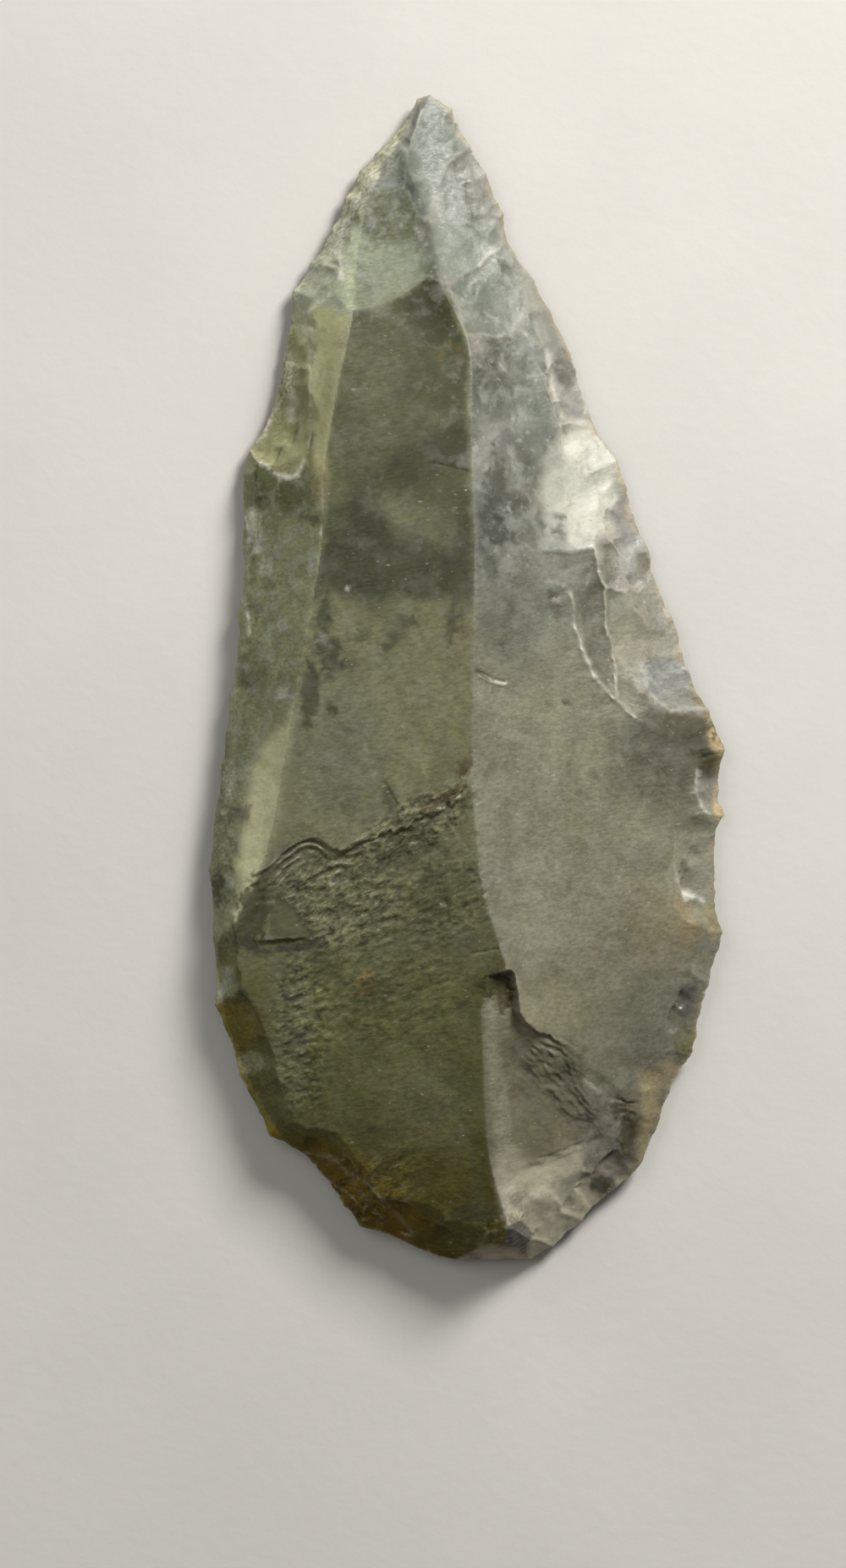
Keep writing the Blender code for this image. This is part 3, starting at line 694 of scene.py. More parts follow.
# Low treads lead down from the middle of the scarp, and a slope from its upper corner.
def scarpFoot(x, y, past):
    tread = np.maximum(0, -past) / scarp["treadBreadth"]
    tread = tread + 0.6 * uneven(x, y, 1.7, 27) + 0.35 * uneven(x, y, 0.6, 28)
    risers = np.floor(tread) + ramp(tread - np.floor(tread), *scarp["riser"])
    steps = (1 - scarp["inRisers"]) * tread + scarp["inRisers"] * risers
    pastCorner = ramp(x, *scarp["treadsFrom"])
    height = scarp["treadHeight"] * (1 - np.clip(steps / scarp["treads"], 0, 1)) * pastCorner
    height = height * (1 - ramp(x, *scarp["treadsTo"]))
    corner = scarp["cornerHeight"] * (1 - ramp(-past, *scarp["cornerTo"]))
    return height + corner * (1 - pastCorner)


# The broad scar with its scarp.
def lowerScar(x, y):
    form = broadForm
    borderAt = along(column(lowerBorder, 0))
    line = smooth(y, borderAt, across(column(lowerBorder, 1)))
    r = ridges(y)
    t = (line - r["left"]) / np.maximum(r["main"] - r["left"], 1)
    top = r["leftTop"] + (r["mainTop"] - r["leftTop"]) * t - form["drop"]
    t = (x - line) / np.maximum(r["rightEdge"] - line, form["leastBreadth"])
    level = top - (top - form["edgeHeight"]) * t - sag(t, form["hollow"])
    wx, wy = wander(x, y, form["wander"])
    torn = ramp(x, *across(scarp["torn"]))
    torn = scarp["tornLeast"] + (1 - scarp["tornLeast"]) * torn
    wx = wx + torn * layered(x, y, "scarpX")
    wy = wy + torn * layered(x, y, "scarpY")
    past = pastChain(wx, wy, scarpRim)
    waves = np.sin(form["rippleRate"] * past + form["rippleShift"] * uneven(x, y, 1.2, 30))
    ripples = form["ripple"] * waves * (1 - ramp(-past, *form["ripplesTo"]))
    ripples = ripples * ramp(t, *form["ripplesFrom"])
    inner = -overRim(wx, wy, innerRim)
    fall = form["innerDrop"] * ramp(inner, *form["innerDropOver"])
    fall = fall + form["innerFall"] * ramp(inner, *form["innerFallOver"])
    level = level - fall * ramp(t, *form["innerFrom"]) * (1 - ramp(t, *form["innerTo"]))
    wall = scarp["wallSlope"] * np.maximum(0, past)
    return level + wall + scarpFoot(x, y, past) + ripples * (past < 0)


# What the scars struck from an edge have in common: their least rise and hollow, how they rise
# past their sides, their rings, and how far off they are still worked out.
flaking = {
    "leastRise": 0.4, "mostHollow": 0.22, "pastSides": 0.45,
    "ringRate": 7.5, "ringStart": 0.5, "ringSpread": 0.18, "ringShift": 3,
    "nearDepths": 2.2, "nearMargin": 4,
    "longWander": 0.22, "longRings": 0.012, "ridgeFade": (0, 3.5),
    "edgeWander": 0.14, "edgeRings": 0.015, "borderMargin": 0.6,
}


# Where a flake was struck off between two points of the edge.
def scarPlace(chordEnds, reach, lean):
    ax, ay, bx, by = chordEnds
    chord = math.hypot(bx - ax, by - ay)
    tx = (bx - ax) / chord
    ty = (by - ay) / chord
    slant = math.tan(math.radians(lean))
    depth = reach * math.cos(math.radians(lean))
    mx = (ax + bx) / 2
    my = (ay + by) / 2
    return {
        "chord": chord, "tx": tx, "ty": ty, "mx": mx, "my": my, "slant": slant, "depth": depth,
        "px": mx + (tx * slant - ty) * depth, "py": my + (ty * slant + tx) * depth,
    }


# Height above the lower face of such a scar, with the rings that run from the blow.
def scarHeight(x, y, place, rise, bite, bowl, side, lift, rings):
    slope = max(rise, flaking["leastRise"]) / (place["depth"] - bite)
    dx = x - place["mx"]
    dy = y - place["my"]
    inward = place["tx"] * dy - place["ty"] * dx
    sideways = np.abs(dx * place["tx"] + dy * place["ty"] - place["slant"] * inward)
    share = 2 * sideways / place["chord"]
    inward = inward - bite * (1 - share ** 2)
    over = np.maximum(0, sideways - place["chord"] / 2)
    bowl = min(bowl, flaking["mostHollow"] * slope * place["depth"])
    hollow = sag(inward / place["depth"], bowl)
    far = np.hypot(inward, sideways)
    turns = far * flaking["ringRate"] / (flaking["ringStart"] + flaking["ringSpread"] * far)
    ring = rings * np.sin(turns + place["px"] * flaking["ringShift"])
    walls = flaking["pastSides"] * slope * over ** 1.5
    return lift + slope * inward - hollow + side * share ** 2 + walls + ring


def chordOf(start, end):
    return across(start[0]), along(start[1]), across(end[0]), along(end[1])


def levelAt(surface, place):
    px = np.array([place["px"]])
    py = np.array([place["py"]])
    return float(surface(px, py)["height"][0] - lowerFace(px, py)[0])


def nearPlace(x, y, place):
    reach = flaking["nearDepths"] * place["depth"] + place["chord"] + flaking["nearMargin"]
    return np.nonzero(np.hypot(x - place["mx"], y - place["my"]) < reach)[0]


# The worked face before its edge was trimmed.
def upperBody(x, y):
    wx, wy = wander(x, y, flaking["longWander"])
    rings = flaking["longRings"]
    face = facets(x, y)
    main = ridges(y)["main"]
    facet = face["height"].copy()
    for index, row in enumerate(longScars + slightScars):
        place = scarPlace(chordOf(row[:2], row[2:4]), row[4] * drawing["unit"], row[5])
        rise = levelAt(facets, place) - row[6]
        near = nearPlace(x, y, place)
        scar = scarHeight(wx[near], wy[near], place, rise, 0, row[7], row[8], row[6], rings)
        scar = scar + lowerFace(x[near], y[near])
        if row[1] > row[3]:
            # Scars from the right edge run out before the main ridge.
            inside = ramp(wx[near] - main[near], *flaking["ridgeFade"])
            scar = facet[near] + (scar - facet[near]) * inside
        carve(face, near, scar, longScar + index)
    everywhere = np.arange(len(x))
    for row in shallowScars:
        carve(face, everywhere, shallowScar(wx, wy, facet, row), rightFacet)
    face["height"] -= lowStep(wx, wy, outerStep) + lowStep(wx, wy, innerStep)
    carve(face, everywhere, lowerScar(x, y), broadScar)
    return face


# Distance inside a closed chain of places, negative outside it.
def insideChain(x, y, corners):
    inside = np.zeros(np.shape(x), bool)
    nearest = np.full(np.shape(x), 1e9)
    for start, end in zip(corners, corners[1:] + corners[:1]):
        ax, ay, bx, by = chordOf(start, end)
        nearest = np.minimum(nearest, fromLine(x, y, *start, *end))
        if by != ay:
            crosses = (ay > y) != (by > y)
            inside ^= crosses & (x < ax + (y - ay) * (bx - ax) / (by - ay))
    return np.where(inside, nearest, -nearest)


def insideOutline(x, y):
    return insideChain(x, y, [row[:2] for row in trimming])


# The points in or close to a small scar, and how far inside its border each one is.
def insideScar(x, y, corners):
    margin = flaking["borderMargin"]
    xs = across(column(corners, 0))
    ys = along(column(corners, 1))
    near = (x > xs.min() - margin) & (x < xs.max() + margin)
    near = near & (y > ys.min() - margin) & (y < ys.max() + margin)
    near = np.nonzero(near)[0]
    return near, insideChain(x[near], y[near], corners)


# The worked face with its edge trimmed, before the fine finish.
def trimmedFace(x, y):
    face = upperBody(x, y)
    bottom = lowerFace(x, y)
    wx = x + flaking["edgeWander"] * uneven(x, y, 1.3, 31)
    wy = y + flaking["edgeWander"] * uneven(x, y, 1.3, 32)
    rings = flaking["edgeRings"]
    for index, (start, end) in enumerate(zip(trimming, trimming[1:] + trimming[:1])):
        place = scarPlace(chordOf(start, end), start[3] * drawing["unit"], 0)
        near = nearPlace(x, y, place)
        bite = start[2] * drawing["unit"]
        rise = levelAt(upperBody, place)
        scar = scarHeight(wx[near], wy[near], place, rise, bite, start[4], 0, 0, rings)
        carve(face, near, bottom[near] + scar, trimmingScar + index)
    return face


# The slab's thickness, full along its lower edge and nothing at its far corner.
def slabHeight(x, y):
    (ax, ay), (bx, by), (cx, cy) = [(across(a), along(d)) for a, d in slab["corners"]]
    area = (bx - ax) * (cy - ay) - (cx - ax) * (by - ay)
    farShare = ((bx - ax) * (y - ay) - (x - ax) * (by - ay)) / area
    rightShare = ((x - ax) * (cy - ay) - (cx - ax) * (y - ay)) / area
    leftShare = 1 - farShare - rightShare
    inside = ramp(farShare, 0, slab["lowerSide"]) * ramp(leftShare, 0, slab["leftSide"])
    inside = inside * ramp(rightShare, 0, slab["rightSide"])
    return slab["height"] * inside * (1 - ramp(farShare, slab["flatTo"], 1))


# How small scars and splinters drop at their borders, how the slab keeps the rough stone off,
# and the share of the stone's thickness that the relief leaves at the edge.
finish = {
    "scarBorder": 0.2, "splinterBorder": 0.25, "slabFrom": (0, 0.06), "slabKeeps": 0.85,
    "seed": 60, "thicknessLeft": 0.45, "outsideSlope": 0.8,
}


# The grain of a rough patch, by its number.
def patchGrain(x, y, index, row):
    return grained(x, y, row[5], row[6], row[7], finish["seed"] + 3 * index)


# The finer relief of the worked face: small scars, splinters, hackles, lips, the slab and a
# slight unevenness.
def addRelief(face, x, y):
    wx, wy = ragged(x, y)
    relief = layered(x, y, "face")
    for tone, share, soft, bowl, drop, corners in flakeScars:
        near, gap = insideScar(wx, wy, corners)
        depth = np.clip(gap / max(gap.max(), 0.3), 0, 1)
        relief[near] -= bowl * depth * (2 - depth) + drop * ramp(gap, 0, finish["scarBorder"])
    for corners, drop in splinters:
        near, gap = insideScar(wx, wy, corners)
        relief[near] -= drop * ramp(gap, 0, finish["splinterBorder"])
    raised = slabHeight(wx, wy)
    clear = 1 - finish["slabKeeps"] * ramp(raised, *finish["slabFrom"])
    for index, row in enumerate(roughPatches):
        relief = relief + row[8] * patchGrain(x, y, index, row) * oval(x, y, row) * clear
    for row in lips:
        away = fromLine(wx, wy, *row[:4])
        relief = relief + row[5] * np.exp(-((away / row[4]) ** 2))
    # However deep the relief, it leaves some of the stone's thickness at the edge.
    bottom = lowerFace(x, y)
    thick = face["height"] - bottom
    height = face["height"] + relief + raised
    least = bottom + finish["thicknessLeft"] * thick
    face["height"] = np.where(thick > 0, np.maximum(height, least), height)


# Small scars along the edge, where it was trimmed last.
def nibbleEdge(face, x, y):
    chance = np.random.default_rng(retouch["seed"])
    bottom = lowerFace(x, y)
    rough = retouch["rough"] * uneven(x, y, 0.5, 33)
    for start, end in zip(trimming, trimming[1:] + trimming[:1]):
        ax, ay, bx, by = chordOf(start, end)
        span = math.hypot(bx - ax, by - ay)
        nx = -(by - ay) / span
        ny = (bx - ax) / span
        at = 0
        while at < span - retouch["shortest"]:
            chord = min(chance.uniform(*retouch["chord"]), span - at)
            reach = chance.uniform(*retouch["reach"])
            bite = chance.uniform(*retouch["bite"])
            left = chance.uniform() > retouch["share"]
            middle = (at + chord / 2) / span
            inset = sag(middle, start[2] * drawing["unit"])
            shares = (at / span, (at + chord) / span)
            at += chord
            if left or chord < retouch["shortest"]:
                continue
            ends = []
            for share in shares:
                ends += [ax + (bx - ax) * share + nx * inset, ay + (by - ay) * share + ny * inset]
            place = scarPlace(ends, reach + bite, chance.uniform(*retouch["lean"]))
            near = np.nonzero(np.hypot(x - place["mx"], y - place["my"]) < reach + chord + 1)[0]
            if not len(near):
                continue
            apex = near[np.argmin(np.hypot(x[near] - place["px"], y[near] - place["py"]))]
            rise = face["height"][apex] - bottom[apex]
            scar = scarHeight(
                x[near], y[near], place, rise, bite,
                retouch["bowl"], retouch["side"], retouch["lift"], 0,
            )
            carve(face, near, bottom[near] + scar + rough[near], face["owner"][near])


# The whole worked face, shaped and finished.
def upperFace(x, y):
    face = trimmedFace(x, y)
    addRelief(face, x, y)
    nibbleEdge(face, x, y)
    gap = insideOutline(x, y)
    sunk = np.minimum(face["height"], lowerFace(x, y) + finish["outsideSlope"] * gap)
    face["height"] = np.where(gap < 0, sunk, face["height"])
    return face


# The lower face with the rings and fine splinters that run from the blow.
def underFace(x, y):
    far = np.hypot(x - under["blowAcross"], y - under["blowAlong"])
    turn = np.arctan2(x - under["blowAcross"], y - under["blowAlong"])
    wobble = under["ringWobble"] * uneven(x, y, 9, 71)
    step = under["ringStep"] + under["ringSpread"] * far
    rings = np.sin((far + wobble) * 2 * math.pi / step)
    rings = rings * under["ringHeight"] * ramp(far, *under["ringsFrom"])
    rings = rings * (1 - ramp(far, *under["ringsTo"]))
    rays = uneven(turn * under["rayTurns"], far / under["rayLength"], 1, 72)
    rays = rays * under["rayHeight"] * ramp(far, *under["raysFrom"])
    rays = rays * (1 - ramp(far, *under["raysTo"]))
    scar = under["bulbScarDepth"] * oval(x, y, under["bulbScar"], under["bulbScarSoft"])
    plain = lowerFace(x, y)
    height = plain + scar + rings + rays + layered(x, y, "under")
    return plain + (height - plain) * ramp(insideOutline(x, y), *under["marksFrom"])


def deselectAll():
    if bpy.context.mode != "OBJECT":
        bpy.ops.object.mode_set(mode="OBJECT")
    bpy.ops.object.select_all(action="DESELECT")


def pointsOf(mesh):
    flat = np.empty(len(mesh.vertices) * 3, np.float32)
    mesh.vertices.foreach_get("co", flat)
    return flat.reshape(-1, 3).astype(float)


def setPoints(mesh, points):
    mesh.vertices.foreach_set("co", np.asarray(points, np.float32).ravel())
    mesh.update()


def applyModifier(piece, kind, **settings):
    modifier = piece.modifiers.new(kind.lower(), kind)
    for name, value in settings.items():
        setattr(modifier, name, value)
    bpy.context.view_layer.objects.active = piece
    bpy.ops.object.modifier_apply(modifier=modifier.name)


# The solid's size over the size that the drawing gives, for the three axes.
def drawingScales():
    low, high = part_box(flint["node"])
    return np.array([
        (high.x - low.x) / drawing["width"],
        (high.y - low.y) / drawing["length"],
        (high.z - low.z) / drawing["thickness"],
    ])


# A closed block under or over a surface: a grid is raised to the surface, cut back to a margin
# round the outline, thinned where it is even, and its border is drawn out to a level plane.
def carvedBlock(name, surface, step, margin, level, triangles):
    deselectAll()
    halfX = drawing["width"] / 2 + margin
    halfY = drawing["length"] / 2 + margin
    bpy.ops.mesh.primitive_grid_add(
        x_subdivisions=round(2 * halfX / step), y_subdivisions=round(2 * halfY / step), size=2
    )
    block = bpy.context.object
    block.name = name
    mesh = block.data
    points = pointsOf(mesh) * (halfX, halfY, 0) + (0, drawing["length"] / 2, 0)
    setPoints(mesh, points)
    outside = insideOutline(points[:, 0], points[:, 1]) < -margin
    bpy.context.tool_settings.mesh_select_mode = (True, False, False)
    mesh.vertices.foreach_set("select", outside)
    mesh.edges.foreach_set("select", np.zeros(len(mesh.edges), bool))
    mesh.polygons.foreach_set("select", np.zeros(len(mesh.polygons), bool))
    bpy.ops.object.mode_set(mode="EDIT")
    bpy.ops.mesh.delete(type="VERT")
    bpy.ops.object.mode_set(mode="OBJECT")
    points = pointsOf(mesh)
    points[:, 2] = surface(points[:, 0], points[:, 1])
    setPoints(mesh, points * drawingScales())
    faces = 2 * len(mesh.polygons)
    applyModifier(block, "DECIMATE", ratio=min(1.0, triangles / faces))
    foot = level * drawingScales()[2]
    bpy.context.tool_settings.mesh_select_mode = (False, True, False)
    bpy.ops.object.mode_set(mode="EDIT")
    bpy.ops.mesh.select_all(action="DESELECT")
    bpy.ops.mesh.select_non_manifold(
        use_wire=False, use_multi_face=False, use_non_contiguous=False, use_verts=False
    )
    bpy.ops.mesh.extrude_edges_move(TRANSFORM_OT_translate={"value": (0, 0, foot)})
    bpy.ops.transform.resize(value=(1, 1, 0), center_override=(0, 0, foot))
    bpy.ops.mesh.edge_face_add()
    bpy.ops.mesh.select_all(action="SELECT")
    bpy.ops.mesh.normals_make_consistent(inside=False)
    bpy.ops.object.mode_set(mode="OBJECT")
    return block


# Cuts the stone off at a plane and closes the cut.
def cutOff(stone, place, away):
    bpy.context.view_layer.objects.active = stone
    bpy.ops.object.mode_set(mode="EDIT")
    bpy.ops.mesh.select_all(action="SELECT")
    bpy.ops.mesh.bisect(plane_co=place, plane_no=away, use_fill=True, clear_outer=True)
    bpy.ops.object.mode_set(mode="OBJECT")


def makeFlint():
    step = flint["gridStep"]
    stone = carvedBlock(
        "knappedFlint", lambda x, y: upperFace(x, y)["height"], step, flint["margin"],
        flint["blockFoot"], flint["triangles"],
    )
    print("worked face shaped:", len(stone.data.polygons), "faces")
    under = carvedBlock(
        "underBlock", underFace, flint["underStep"], flint["underMargin"],
        flint["blockTop"], flint["underTriangles"],
    )
    print("lower face shaped:", len(under.data.polygons), "faces")
    applyModifier(stone, "BOOLEAN", operation="INTERSECT", solver="EXACT", object=under)
    bpy.data.objects.remove(under, do_unlink=True)
    scales = drawingScales()
    cutOff(stone, (0, 0, flint["restShave"] * scales[2]), (0, 0, -1))
    lean = flint["platformLean"]
    inset = flint["platformInset"] * millimetre
    cutOff(stone, (0, inset, 0), (0, -math.cos(lean), math.sin(lean)))
    bpy.ops.object.mode_set(mode="EDIT")
    bpy.ops.mesh.select_all(action="SELECT")
    bpy.ops.mesh.remove_doubles(threshold=flint["weld"])
    bpy.ops.mesh.quads_convert_to_tris()
    # Slivers left by the cuts: the spare faces go, and the small gaps are closed.
    bpy.ops.mesh.select_all(action="DESELECT")
    bpy.ops.mesh.select_mode(type="FACE")
    bpy.ops.mesh.select_interior_faces()
    bpy.ops.mesh.delete(type="FACE")
    bpy.ops.mesh.select_all(action="SELECT")
    bpy.ops.mesh.fill_holes(sides=4)
    bpy.ops.mesh.select_mode(type="VERT")
    bpy.ops.object.mode_set(mode="OBJECT")
    print("flint cut out:", len(stone.data.polygons), "faces")
    return stone


# The stone's tones, red, green and blue.
tones = {
    "rightUpper": (113, 116, 105),
    "rightMid": (125, 124, 103),
    "rightLow": (116, 114, 94),
    "rightWarm": (138, 134, 106),
    "rightShade": (122, 120, 105),
    "rightDark": (84, 81, 66),
    "mauve": (86, 86, 76),
    "lilac": (136, 132, 128),
    "tipLilac": (107, 109, 101),
    "lilacDark": (98, 97, 90),
    "centreTop": (87, 89, 60),
    "centreLight": (106, 107, 80),
    "centreDeep": (66, 68, 43),
    "centreMid": (117, 117, 86),
    "centreGrey": (116, 116, 98),
    "oliveYellow": (120, 117, 78),
    "moss": (94, 94, 56),
    "mossLight": (108, 108, 78),
    "mossDark": (66, 65, 38),
    "foot": (91, 86, 42),
    "footLeft": (106, 94, 30),
    "footBrown": (108, 88, 26),
    "ochreDark": (114, 103, 48),
    "leftUpper": (74, 77, 50),
    "leftMid": (112, 114, 86),
    "leftLow": (112, 114, 88),
    "leftGrey": (97, 100, 76),
    "strip": (168, 168, 134),
    "paleStrip": (142, 143, 106),
    "leftScar": (122, 122, 86),
    "broad": (112, 109, 87),
    "broadPale": (150, 147, 126),
    "cortex": (190, 184, 160),
    "sand": (148, 136, 102),
    "chalk": (166, 170, 161),
    "ice": (195, 195, 180),
    "pearl": (150, 152, 148),
    "mist": (128, 133, 121),
    "pale": (139, 145, 122),
    "straw": (160, 160, 130),
    "tipPale": (104, 112, 102),
    "tipMid": (122, 129, 117),
    "tipShade": (107, 113, 101),
    "tipGrey": (98, 102, 88),
    "tipDark": (97, 100, 76),
    "bone": (188, 182, 164),
    "cream": (210, 201, 180),
    "pinkCream": (186, 166, 128),
    "rim": (204, 203, 190),
    "notch": (104, 100, 88),
    "stepped": (142, 140, 122),
    "hollow": (130, 126, 112),
    "slabTop": (78, 77, 50),
    "umber": (68, 62, 42),
    "slate": (62, 62, 48),
    "slateBlue": (74, 76, 68),
    "ochre": (140, 112, 64),
    "ochreLight": (132, 126, 88),
    "brown": (84, 70, 42),
    "under": (120, 117, 94),
}

# Tones along the long facets: down and tone. The right facet's paler grey is partly the stone's own
# tone and partly painted sheen from the light that it faces.
facetTones = {
    "right": [(300, "mist"), (430, "rightUpper"), (620, "rightUpper"), (760, "rightMid"),
              (1000, "rightMid"), (1180, "rightLow"), (1500, "rightLow")],
    "centre": [(100, "chalk"), (300, "pale"), (345, "centreTop"), (600, "centreTop"),
               (650, "centreDeep"), (694, "centreDeep"), (732, "centreMid"), (1000, "centreMid")],
    "hinged": [(930, "mossLight"), (1090, "mossLight"), (1160, "moss"), (1320, "moss"),
               (1385, "foot"), (1500, "foot")],
    "left": [(130, "straw"), (360, "pale"), (420, "paleStrip"), (560, "leftUpper"),
             (650, "leftMid"), (860, "leftMid"), (1000, "leftLow"), (1110, "leftLow"),
             (1190, "footLeft"), (1400, "footLeft")],
    "broad": [(1150, "rightLow"), (1230, "broad"), (1350, "broad"), (1400, "cortex")],
}

# Soft clouds of tone: across, down, half length, half breadth, lean, tone and strength.
clouds = [
    (510, 368, 38, 42, 0, "centreDeep", 0.85), (540, 470, 130, 15, 3, "centreDeep", 0.4),
    (440, 440, 60, 36, 10, "centreLight", 0.6), (432, 518, 50, 17, 76, "leftGrey", 0.7),
    (379, 560, 34, 10, 4, "ochreLight", 0.8),
    (490, 553, 76, 22, 58, "centreDeep", 0.9), (488, 616, 54, 22, 122, "centreLight", 0.8),
    (418, 622, 40, 24, 90, "centreDeep", 0.7), (440, 668, 40, 62, 0, "centreDeep", 0.7),
    (545, 640, 46, 10, 0, "centreDeep", 0.6), (430, 720, 16, 50, 0, "centreMid", 0.5),
    (512, 732, 20, 24, 0, "oliveYellow", 0.5), (544, 830, 110, 13, 0, "oliveYellow", 0.6),
    (400, 880, 80, 50, 0, "centreGrey", 0.5), (500, 890, 50, 34, 0, "oliveYellow", 0.35),
    (590, 440, 52, 32, 0, "mauve", 0.75), (610, 600, 70, 44, 24, "mauve", 0.6),
    (628, 500, 70, 22, -10, "mist", 0.5), (580, 540, 40, 24, 0, "lilac", 0.4),
    (620, 700, 60, 60, 0, "rightUpper", 0.4), (600, 735, 70, 34, 0, "mauve", 0.5),
    (790, 895, 62, 66, 0, "rightDark", 0.85),
    (665, 860, 60, 60, 0, "rightWarm", 0.3), (720, 960, 60, 80, 0, "rightWarm", 0.2),
    (770, 1090, 34, 50, 70, "ochre", 0.18), (680, 985, 10, 44, 80, "oliveYellow", 0.2),
    (655, 1185, 44, 50, 0, "rightWarm", 0.6), (770, 1200, 60, 40, 0, "mauve", 0.3),
    (664, 1256, 44, 22, -38, "mossDark", 0.4), (655, 1350, 20, 32, 70, "sand", 0.35),
    (510, 1300, 60, 56, 0, "mossLight", 0.45),
    (590, 1300, 130, 10, -4, "broadPale", 0.5), (598, 1410, 36, 12, -14, "bone", 0.7),
    (640, 1290, 60, 34, 0, "broad", 0.5), (700, 1310, 34, 30, 0, "rightShade", 0.4),
    (345, 1022, 24, 24, 0, "mauve", 0.4), (415, 1060, 50, 50, 0, "mossLight", 0.4),
    (500, 1060, 40, 60, 0, "moss", 0.5), (344, 1200, 120, 22, 0, "leftGrey", 0.45),
    (500, 1400, 40, 80, 0, "foot", 0.6), (575, 1462, 26, 50, 0, "foot", 0.95),
    (560, 1340, 120, 12, -4, "moss", 0.6), (335, 585, 24, 40, 0, "leftUpper", 0.8),
    (300, 790, 40, 18, 0, "leftUpper", 0.6), (272, 960, 90, 12, 0, "leftGrey", 0.3),
    (262, 1050, 30, 10, 0, "leftUpper", 0.3), (660, 630, 26, 24, 0, "mist", 0.6),
    (412, 250, 130, 14, 34, "bone", 0.4), (540, 170, 20, 12, -30, "mist", 0.3),
    (411, 328, 12, 9, 0, "ice", 0.6),
    (420, 1415, 110, 38, 126, "footBrown", 0.8), (721, 628, 9, 12, 0, "bone", 0.4),
    (545, 156, 20, 7, -50, "cream", 0.9), (512, 130, 16, 18, 0, "pearl", 0.7),
    (660, 365, 60, 8, -32, "bone", 0.6), (690, 470, 46, 9, -22, "bone", 0.7),
    (780, 724, 26, 10, -28, "bone", 0.5), (838, 1085, 20, 9, -10, "sand", 0.6),
]
# Ragged stains, as clouds, with some painted shadow and shade among them.
stainsAndShadows = [
    (368, 818, 36, 12, 6, "centreDeep", 0.9), (390, 772, 38, 13, -12, "centreDeep", 0.8),
    (394, 838, 13, 6, -44, "mossDark", 0.9), (384, 732, 26, 9, 0, "centreDeep", 0.7),
    (464, 757, 17, 8, 40, "centreDeep", 0.7), (481, 737, 15, 5, -60, "centreDeep", 0.7),
    (428, 750, 12, 6, 60, "centreDeep", 0.6), (412, 782, 12, 5, 70, "centreDeep", 0.5),
    (534, 738, 28, 7, 8, "centreDeep", 0.75), (366, 616, 14, 6, -60, "slate", 0.6),
    (597, 742, 26, 8, 5, "umber", 0.5), (577, 668, 26, 14, 0, "slateBlue", 0.5),
    (604, 612, 40, 20, 34, "slateBlue", 0.5), (582, 600, 60, 14, 0, "slateBlue", 0.7),
    (661, 611, 9, 5, 70, "slateBlue", 0.7), (638, 630, 8, 4, 0, "slateBlue", 0.7),
    (655, 630, 7, 4, 40, "slateBlue", 0.7), (664, 634, 6, 4, -30, "slateBlue", 0.6),
    (590, 403, 18, 6, 80, "umber", 0.6),
    (662, 726, 10, 8, 0, "umber", 0.5), (655, 708, 8, 6, 60, "umber", 0.6),
    (668, 834, 4, 4, 0, "slate", 0.8), (698, 915, 5, 12, 0, "umber", 0.4),
    (552, 905, 12, 6, 20, "brown", 0.8), (522, 944, 34, 6, 60, "brown", 0.6),
    (465, 953, 28, 8, -20, "slate", 0.6), (482, 978, 14, 20, 0, "slate", 0.5),
    (418, 1010, 8, 18, 0, "brown", 0.5), (300, 1084, 42, 20, 12, "mossDark", 0.9),
    # The slate line at 345, 1117 is painted shadow under the slab's lower edge.
    (318, 1050, 22, 14, 0, "mossDark", 0.6), (345, 1117, 5, 50, -2, "slate", 0.95),
    (290, 1110, 10, 22, 0, "slate", 0.7), (433, 1162, 16, 14, 0, "ochre", 0.35),
    (290, 960, 10, 7, 0, "slate", 0.6), (278, 962, 9, 4, 20, "slate", 0.5),
    (280, 1002, 8, 4, 0, "slate", 0.4), (258, 1052, 18, 7, 0, "slate", 0.8),
    (285, 870, 30, 9, 4, "slate", 0.35), (560, 1430, 10, 34, 0, "slate", 0.5),
    # These two are painted shade below the scarp's upper corner.
    (586, 1163, 16, 22, 0, "mossDark", 0.9), (596, 1178, 20, 9, -8, "umber", 0.8),
    (731, 1309, 10, 9, 0, "umber", 0.7), (813, 861, 17, 34, 0, "rightDark", 0.9),
    (444, 1334, 4, 8, 0, "slate", 0.6), (350, 1226, 10, 7, 0, "slate", 0.5),
    (812, 1188, 28, 7, 8, "mauve", 0.6), (812, 1232, 20, 11, 10, "moss", 0.6),
    # The moss dark at 742, 1335 is painted shadow below the scarp.
    (742, 1335, 26, 8, 6, "mossDark", 0.7), (710, 1400, 8, 14, 0, "slate", 0.8),
    (810, 1085, 12, 34, 80, "ochre", 0.35), (530, 407, 5, 4, 0, "ochre", 0.35),
    (523, 418, 4, 5, 0, "ochre", 0.3), (545, 420, 14, 3, 0, "ochre", 0.25),
    (300, 722, 10, 8, 0, "slate", 0.35), (318, 690, 10, 8, 0, "slate", 0.35),
    (311, 672, 10, 4, 10, "chalk", 0.35), (321, 672, 10, 3, 0, "chalk", 0.3),
    (323, 742, 8, 4, 0, "chalk", 0.3), (367, 676, 9, 4, -10, "chalk", 0.35),
    (382, 752, 9, 4, -30, "chalk", 0.35),
    (347, 790, 10, 4, 40, "chalk", 0.3), (334, 822, 8, 5, 0, "ice", 0.5),
    (268, 930, 26, 8, 4, "chalk", 0.3), (270, 1152, 14, 8, 0, "chalk", 0.5),
    (262, 1172, 12, 7, 0, "chalk", 0.5), (337, 740, 7, 8, 0, "chalk", 0.3),
    (352, 694, 6, 5, 0, "chalk", 0.3), (602, 681, 3, 4, 0, "umber", 0.7),
    (659, 714, 4, 7, 0, "bone", 0.6), (440, 1040, 70, 80, 60, "mossLight", 0.5),
    (480, 1000, 44, 22, 60, "mossDark", 0.6), (505, 1062, 30, 24, 0, "mossDark", 0.5),
    (440, 1172, 26, 16, 70, "mossDark", 0.5), (352, 1062, 26, 12, -30, "leftGrey", 0.4),
]
